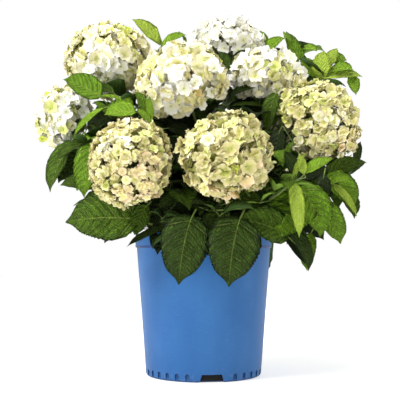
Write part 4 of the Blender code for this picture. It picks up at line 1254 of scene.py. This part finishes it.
def spiral_ways(head, count, span, step):
    """Ways over a head, and their cosines to its axis: span down from it, each turned by a step."""
    i = np.arange(count)
    z = 1 - span * (i + 0.5) / count
    a, r = i * step, np.sqrt(1 - z * z)
    _, side, other, axis = head_frame(head)
    return (r * np.cos(a))[:, None] * side + (r * np.sin(a))[:, None] * other + z[:, None] * axis, z


def dealt(shares, count, rng):
    """The number of a sepal tint for each of count florets, dealt by these shares."""
    weights = np.array([shares.get(tint, 0) for tint in SEPAL_TINTS])
    return rng.choice(len(weights), count, p=weights / sum(shares.values()))


def head_layer(head, cover, depth, shares, patches, rng):
    """One layer of a head's florets: place, way out, radius and tint of each.

    The layer lies at depth times the head's own surface, swollen and sunk by four seeded waves over
    the ways, so that the head is lumpy, and sunk at its dents.
    """
    radius, ragged, height, lowest = HEADS[head][:4]
    diameter = FLOWERING[head][3]
    centre, _, _, axis = head_frame(head)
    count = round(cover * (diameter / radius) ** 2 * (1 - lowest) / 1.8)
    ways, _ = spiral_ways(head, count, 1 - lowest, GOLDEN_ANGLE)
    ways = unit(ways + rng.normal(0, 0.07 + 0.03 * ragged, ways.shape))
    lumps = np.sin(ways @ rng.normal(0, 3.6, (3, 4)) + rng.uniform(0, 6.3, 4)).mean(1)
    share = depth * (FLORET_SHARE - 0.01) + 0.05 * ragged * lumps + rng.normal(0, 0.024 * ragged, count)
    share = np.minimum(share, FLORET_SHARE + 0.03)
    for way, half, sink in DENTS.get(head, []):
        share -= sink * smooth(ways @ unit(np.array(way)), math.cos(math.radians(half)), 1.0)
    tint, size = dealt(shares, count, rng), radius * rng.uniform(0.78, 1.18, count)
    for way, half, patch, scale in patches:
        near = ways @ unit(np.array(way)) > np.cos(np.radians(half + rng.normal(0, 6, count)))
        tint = np.where(near & (rng.uniform(size=count) < 0.8), dealt(patch, count, rng), tint)
        size = np.where(near, size * scale, size)
    out = unit(ways + rng.normal(0, 0.30 + 0.10 * ragged, ways.shape))
    away = (head_radius(diameter, ways @ axis) * share)[:, None] * ways
    away -= (1 - height) * (away @ axis)[:, None] * axis
    return centre + away, out, size, tint


def build_heads(name, heads, finishes):
    """The florets of these heads, as one piece: an outer layer, and greener, darker ones that it hides,
    which paint the shade deep in the head.
    """
    parts = []
    for head in heads:
        number = sorted(HEADS).index(head)
        rng = np.random.default_rng(1000 + number)
        usual, patches = HEADS[head][4:]
        if usual.get("white", 0) > 3:
            mixes = usual, usual, PALE_INNERMOST
        else:
            mixes = usual, {**usual, "moss": 4}, INNERMOST
        for (cover, depth), shares in zip(LAYERS, mixes):
            outer = depth == 1
            shown = patches if outer else []
            place, out, size, tint = head_layer(head, cover, depth, shares, shown, rng)
            across = unit(np.cross(out, rng.normal(size=out.shape)))
            other = np.cross(out, across)
            turn, cup = rng.uniform(0, np.pi, len(place)), rng.uniform(0.0, 0.65, len(place))
            seed = 2000 + 10 * number + len(parts)
            points = sepal_points(place, across, other, out, size, turn, cup, seed)
            parts.append(SEPAL[0].copies(points, np.repeat(tint, 4)[:, None]))
            if outer:
                parts.append(bud_part(place, across, other, out, size, len(SEPAL_TINTS)))
    settle(build_piece(name, parts, finishes, SEPAL_MAP), "blossom", *("head_" + head for head in heads))


def bud_part(place, side, other, out, size, slot):
    """The small true flower in the middle of each floret: a five-sided bead."""
    a = circle(5)[:, None]
    ring = np.cos(a) * side[:, None] + np.sin(a) * other[:, None]
    radius, middle, up = size[:, None, None], place[:, None], out[:, None]
    low = middle + 0.13 * radius * ring
    high = middle + 0.10 * radius * ring + 0.13 * radius * up
    top = middle + 0.19 * radius * up
    faces = [*grid_faces(2, 5, closed=True), *((5 + k, 5 + (k + 1) % 5, 10) for k in range(5))]
    disc = np.concatenate([np.cos(a), np.sin(a)], 1)
    places = 0.5 + np.concatenate([0.46 * disc, 0.24 * disc, np.zeros((1, 2))])
    pattern = Pattern(faces, np.full(len(faces), slot), places)
    return pattern.copies(np.concatenate([low, high, top], 1))


def flower_stalks(heads):
    """Each head's stalk, and the branches from it to the florets, which sag a little."""
    parts = []
    for head in heads:
        diameter = FLOWERING[head][3]
        rng = np.random.default_rng(3000 + sorted(HEADS).index(head))
        centre, _, _, axis = head_frame(head)
        foot = np.array(stem_tip(head)[0])
        stalk = foot + np.linspace(0, 1, 4)[:, None] * 0.9 * (centre - foot)
        parts.append(thin_tubes(stalk[None], 0.0023, 0.0030, 8))
        ways, z = spiral_ways(head, BRANCHES, 1.75, BRANCH_STEP)
        ends = centre + ways * (head_radius(diameter, z) * FLORET_SHARE)[:, None]
        start = foot + rng.uniform(0.35, 0.9, (BRANCHES, 1)) * (centre - foot)
        elbow = (start + ends) / 2 + 0.10 * diameter * (rng.normal(0, 0.4, (BRANCHES, 3)) - 0.3 * axis)
        t = np.linspace(0, 1, 5)[None, :, None]
        paths = bowed(start[:, None], elbow[:, None], ends[:, None], t)
        parts.append(thin_tubes(paths, 0.0011, 0.0006, 4))
    return parts


# ---- the crown ----
def cane_part(stem):
    """A woody cane below its fork, with swollen rings where it once had leaves."""
    shares = np.linspace(0, stem.fork, 40)
    scars = np.abs((shares * stem.length / PAIR_SPACING) % 1 - 0.5)
    radius = CANE_RADIUS + (FORK_RADIUS - CANE_RADIUS) * shares / stem.fork
    radius = radius * (1 + 0.16 * (1 - smooth(scars, 0.0, 0.10)))
    return tubes(stem.arc(shares)[None], radius[None], 12)


def twig_part(stem):
    """The leafy stem above the fork, swollen by a third within 6 mm of each pair of leaves."""
    shares = np.linspace(stem.fork, 1, 40)
    radius = FORK_RADIUS + (TIP_RADIUS - FORK_RADIUS) * (shares - stem.fork) / (1 - stem.fork)
    joints = np.array([share for share, _, _ in stem.pairs])
    near = np.abs(shares[:, None] - joints).min(1) * stem.length
    radius = radius * (1 + 0.35 * (1 - smooth(near, 0.0, 0.006)))
    return tubes(stem.arc(shares)[None], radius[None], 9)


def grown_leaves(stems):
    """The leaves that the frame kept, and shrunk ones in its skipped places where there is room.

    A shrunk leaf is the try with the most room. Gives the leaves, and the marks that they take up.
    """
    leaves, skipped = [], []
    for name, stem in stems.items():
        corners = packed_corners("leaves_" + name)
        for pair, side in itertools.product(range(len(stem.pairs)), (0, 1)):
            if f"{pair}{side}" in TURNED.get(name, ""):
                continue
            leaf = kept_leaf(stem, (name, pair, side), corners)
            if leaf:
                leaves.append(leaf)
            else:
                skipped.append((name, pair, side))
    taken = blade_marks(*leaves)
    for place in skipped:
        tries = list(leaf_tries(stems[place[0]], place))[OWN_TRIES:]
        for leaf in tries:
            leaf.length *= FILL_SHRINK
            leaf.width *= FILL_SHRINK
            leaf.base = leaf.root + FILL_SHRINK * (leaf.base - leaf.root)
        rooms = [room(blade_marks(leaf), taken) for leaf in tries]
        best = int(np.argmax(rooms))
        if rooms[best] > FILL_ROOM:
            leaves.append(tries[best])
            taken = np.concatenate([taken, blade_marks(tries[best])])
    return leaves, taken


def inside_crown(marks):
    """Whether all marks lie in the crown: an ellipsoid about it, above the soil and off the rim."""
    x, y, z = marks.T
    wide, deep, high = CROWN_HALVES
    share = (x / wide) ** 2 + (y / deep) ** 2 + ((z - CROWN_MIDDLE) / high) ** 2
    off_rim = (z > POT_HEIGHT + 0.003) | (np.hypot(x, y) > RIM_RADIUS + 0.007)
    return (share < 1).all() and off_rim.all() and (z > CROWN_LOWEST).all()


def covers_head(marks):
    """Whether any mark would hide a flower head from outside, or from the plant's front.

    It does where it is nearer the eye than the head's centre, and in its disc.
    """
    for name, (azimuth, _, _, diameter, _, _) in FLOWERING.items():
        away = marks - np.array(head_place(name)[0])
        front = [] if name.startswith("back") else [Vector((0, -1, 0))]
        for way in (np.array(way) for way in (heading(azimuth, 25), *front)):
            ahead = away @ way
            beside = np.linalg.norm(away - ahead[:, None] * way, axis=1)
            if ((ahead > 0) & (beside < HEAD_DISC * diameter)).any():
                return True
    return False


def side_shoots(stems, taken, seed, step, reach, sizes, tries, least):
    """Twigs that leave the stems all along, each with a pair of leaves where there is room.

    Each place tries several ways, lengths and poses, and keeps the one with the most room, if its
    leaves lie in the crown, at least this far from others, and hide no flower head.
    """
    rng = random.Random(seed)
    twigs, leaves = [], []
    for name, stem in stems.items():
        for k in range(int((stem.length - SHOOTS_FROM - SHOOTS_SHORT) / step)):
            root, along = stem.at((SHOOTS_FROM + step * k) / stem.length)
            best = None
            for _ in range(tries):
                way = heading(SHOOT_TURN * k + rng.uniform(-60, 60), rng.uniform(-20, 60))
                way = (way + 0.4 * along).normalized()
                tip = root + rng.uniform(*reach) * way
                size = rng.uniform(*sizes)
                pair = [Leaf((name, k, "side"), tip, azimuth_of(way) + swing, rng.uniform(-5, 45),
                             rng.uniform(25, 60), size, rng.uniform(0.56, 0.70) * size,
                             rng.uniform(-25, 25), rng.uniform(10, 30))
                        for swing in (rng.uniform(-80, -40), rng.uniform(40, 80))]
                marks = blade_marks(*pair)
                if not inside_crown(marks) or covers_head(marks):
                    continue
                gap = room(marks, taken)
                if best is None or gap > best[0]:
                    best = gap, tip, pair, marks
            if best is None or best[0] < least:
                continue
            _, tip, pair, marks = best
            twigs.append(bent(root, along, tip))
            leaves += pair
            taken = np.concatenate([taken, marks])
    return twigs, leaves, taken


def bent(root, along, tip):
    """Four points of a twig that leaves its stem partly along it and bends to its tip."""
    way = (0.6 * along + (tip - root).normalized()).normalized()
    bend = root + 0.45 * (tip - root).length * way
    return bowed(np.array(root), np.array(bend), np.array(tip), np.linspace(0, 1, 4)[:, None])


def own_twigs(stems):
    """The leaves of TWIG_LEAVES, each on a twig from the nearest point of its shoot.

    A midrib is an arc from its foot to its tip that turns down by its droop, so it is longer than
    its chord by half the droop over that half's sine. Its roll brings its upper face to face the
    way that the table gives.
    """
    twigs, leaves = [], []
    shares = np.linspace(0.2, 0.98, 80)
    for name, rows in TWIG_LEAVES.items():
        for *ends, share, droop, face_azimuth, face_lift, tint in rows:
            foot, tip = seen_at(*ends[:3]), seen_at(*ends[3:])
            chord, half = tip - foot, math.radians(droop) / 2
            length = chord.length * half / math.sin(half)
            azimuth = azimuth_of(chord)
            lift = math.degrees(math.asin(chord.z / chord.length)) + droop / 2
            root = foot - petiole(length, azimuth, lift)
            face = heading(face_azimuth, face_lift)
            level, up = heading(azimuth - 90, 0), heading(azimuth, lift - 0.45 * droop + 90)
            roll = math.degrees(math.atan2(-level.dot(face), up.dot(face)))
            leaf = Leaf((name, 0, "own"), root, azimuth, lift, droop, length, share * length, roll, 14)
            leaf.tint = tint
            leaves.append(leaf)
            away = stems[name].arc(shares) - np.array(root) + [0, 0, 0.02]
            start, along = stems[name].at(float(shares[np.linalg.norm(away, axis=1).argmin()]))
            twigs.append(bent(start, along, root))
    return twigs, leaves


# Rounds of side shoots: seed, step along the stem, a twig's and a leaf's least and greatest length,
# tries for each place, and the least distance to other leaves.
SIDE_SHOOTS = [
    ("large", 0.030, (0.030, 0.085), (0.060, 0.088), 10, 0.012),
    ("middle", 0.024, (0.020, 0.070), (0.042, 0.062), 10, 0.009),
    ("small", 0.024, (0.012, 0.040), (0.024, 0.040), 8, 0.007),
]

# The tints of leaves: the blade's colour, its veins', and how bright the painted shade in its furrows is
# beside it.
LEAF_TINTS = {
    # The deep and dark tints are partly the older leaves' own colour and partly painted shade.
    "deep": (paint(44, 58, 26), paint(88, 104, 54), 0.34),
    "dark": (paint(54, 76, 22), paint(116, 136, 60), 0.26),
    "green": (paint(82, 112, 30), paint(148, 170, 76), 0.28),
    "fresh": (paint(112, 152, 34), paint(172, 198, 88), 0.50),
    "bright": (paint(152, 198, 50), paint(206, 230, 110), 0.70),
    "lime": (paint(204, 236, 84), paint(234, 246, 150), 0.84),
}
# Lower faces and stalks: their colour and their veins'.
UNDERSIDES = {
    "underside": (paint(52, 76, 28), paint(90, 114, 54)),
    "pale_underside": (paint(116, 150, 54), paint(160, 190, 94)),
    "petiole": (paint(128, 150, 74), paint(150, 168, 92)),
}
LEAF_SLOTS = {tint: slot for slot, tint in enumerate([*LEAF_TINTS, *UNDERSIDES])}
# The dark tints that these leaves get partly paint the shade inside and under the crown.
INSIDE, LOW = 0.13, 0.33  # metres: leaves nearer the axis, and side shoots lower down, are dark


def dealt_tint(leaf, rng):
    """The tint of a leaf by where it grows: young shoots bright, the skirt and the inside dark, partly
    as painted shade.
    """
    name, pair, side = leaf.place
    if side == "own":
        return leaf.tint
    if leaf.place in OWN_POSES and OWN_POSES[leaf.place][-1]:
        return OWN_POSES[leaf.place][-1]
    tip = leaf.along(0.6)
    if name.startswith("young"):
        choice = ["fresh", "bright", "bright", "lime"] if pair == 0 else ["green", "fresh", "bright"]
    elif math.hypot(tip.x, tip.y) < INSIDE:
        choice = ["deep", "deep", "dark"]
    elif side == "side":
        choice = ["deep", "dark", "dark"] if tip.z < LOW else ["deep", "dark", "green", "green", "fresh"]
    elif name.startswith("skirt"):
        choice = ["dark", "dark", "green"]
    else:
        choice = ["dark", "green", "green", "fresh"]
    return rng.choice(choice)


def build_leaves(name, leaves, slot, nodes):
    """These leaves with their petioles, as one piece."""
    rng = random.Random(name)
    parts = [petioles(leaves, LEAF_SLOTS["petiole"])]
    fine = [leaf for leaf in leaves if leaf.place[2] != "side" and leaf.along(0.5).y < FINE_REACH]
    plain = [leaf for leaf in leaves if leaf not in fine]
    for kind, group in ((FINE_LEAF, fine), (PLAIN_LEAF, plain)):
        pattern, *shape = leaf_pattern(*kind)
        tops = np.array([LEAF_SLOTS[dealt_tint(leaf, rng)] for leaf in group])
        pale = tops >= LEAF_SLOTS["fresh"]
        unders = np.where(pale, LEAF_SLOTS["pale_underside"], LEAF_SLOTS["underside"])
        points = leaf_points(group, *shape, seed=len(group))
        parts.append(pattern.copies(points, np.stack([tops, unders], -1)))
    finishes = [leaf_finish(f"{name}_{tint}", *colours) for tint, colours in LEAF_TINTS.items()]
    finishes += [underside_finish(f"{name}_{tint}", *colours) for tint, colours in UNDERSIDES.items()]
    settle(build_piece(name, parts, finishes, LEAF_MAP), slot, *nodes)


def build_crown():
    """Canes, green stems, leaves and flower heads."""
    stems = {name: Stem(name, way) for name, way in start_ways().items()}
    bark = bark_finish()
    build_stool(bark)
    canes = build_piece("cane_bark", [cane_part(stems[name]) for name in FLOWERING], [bark])
    settle(canes, "bark", *("cane_" + name for name in FLOWERING))

    leaves, taken = grown_leaves(stems)
    twigs, own = own_twigs(stems)
    leaves += own
    taken = np.concatenate([taken, blade_marks(*own)])
    for shoot in SIDE_SHOOTS:
        more_twigs, more_leaves, taken = side_shoots(stems, taken, *shoot)
        twigs += more_twigs
        leaves += more_leaves
    nodes = []
    pieces = (("leaf_blades", "foliage", False), ("young_leaf_blades", "young_foliage", True))
    for name, slot, young in pieces:
        shown = [leaf for leaf in leaves if leaf.place[0].startswith("young") == young]
        stands_for = ["leaves_" + shoot for shoot in stems if shoot.startswith("young") == young]
        build_leaves(name, shown, slot, stands_for)
        nodes += stands_for

    parts = [twig_part(stem) for stem in stems.values()]
    parts.append(thin_tubes(np.array(twigs), 0.0014, 0.0009, 6))
    parts += flower_stalks(FLOWERING)
    settle(build_piece("green_stems", parts, [stem_finish()]), "foliage", *nodes)

    finishes = [sepal_finish("sepal_" + tint, *colours) for tint, colours in SEPAL_TINTS.items()]
    finishes.append(sepal_finish("bud", paint(170, 184, 84), paint(206, 210, 132), paint(214, 214, 150)))
    for name, heads in BLOSSOM.items():
        build_heads(name, heads, finishes)


# ---- camera, floor and lights ----
def build_camera():
    """The camera at the height of the pot's rim, tilted up a little."""
    data = bpy.data.cameras.new("camera")
    data.lens, data.sensor_width = CAMERA_LENS, SENSOR
    turn = (math.radians(90 + CAMERA_TILT), 0, 0)
    bpy.context.scene.camera = add_object("camera", data, CAMERA_PLACE, turn)


def softbox(name, place, aim, size, power):
    """A square area light at place, which faces this height of the plant's axis."""
    data = bpy.data.lights.new(name, "AREA")
    data.shape, data.size, data.energy = "SQUARE", size, power
    way = Vector((0, 0, aim)) - Vector(place)
    add_object(name, data, place, way.to_track_quat("-Z", "Y").to_euler())


def build_studio():
    """A pale floor under a white sky, a large soft key from the upper left and a weak fill.

    The sky lights the scene at a share of the white that the camera sees, and the floor glows a
    little, more so further off, so that the two meet without a line.
    """
    f = Finish("pale_floor", 0.95, Specular_IOR_Level=0.0, Emission_Strength=1.0)
    near, far = ((glow, glow, glow, 1) for glow in FLOOR_GLOW)
    glow = f.mix(f.reach(f.solid_place()).rise(0.5, 1.5), near, far)
    finish = f.done(Base_Color=paint(235, 235, 235), Emission_Color=glow)
    points = around(np.array([[0.01], [FLOOR_RADIUS]]), circle(64), -0.0001).reshape(-1, 3)
    faces = list(grid_faces(2, 64, closed=True)[:, ::-1])
    floor = build_piece("floor", [plain_part(points, faces)], [finish])
    world = bpy.data.worlds.new("studio")
    bpy.context.scene.world = world
    world.use_nodes = True
    tree = world.node_tree
    seen = tree.nodes.new("ShaderNodeLightPath").outputs["Is Camera Ray"]
    strength = tree.nodes.new("ShaderNodeMapRange")
    strength.inputs["To Min"].default_value, strength.inputs["To Max"].default_value = SKY, 1.0
    tree.links.new(seen, strength.inputs["Value"])
    background = tree.nodes["Background"]
    background.inputs["Color"].default_value = (1, 1, 1, 1)
    tree.links.new(strength.outputs[0], background.inputs["Strength"])
    for name, setting in LIGHTS.items():
        softbox(name, *setting)
    bpy.context.scene.view_settings.view_transform = "Standard"


# ---- the whole piece ----
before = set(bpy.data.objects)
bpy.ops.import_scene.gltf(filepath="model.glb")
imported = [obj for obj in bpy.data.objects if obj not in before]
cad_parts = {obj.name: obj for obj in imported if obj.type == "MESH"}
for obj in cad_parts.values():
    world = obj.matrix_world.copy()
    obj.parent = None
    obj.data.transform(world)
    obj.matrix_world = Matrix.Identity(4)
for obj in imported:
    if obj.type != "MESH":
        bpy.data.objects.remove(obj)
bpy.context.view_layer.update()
build_camera()
build_studio()
build_pot()
build_mix()
build_crown()
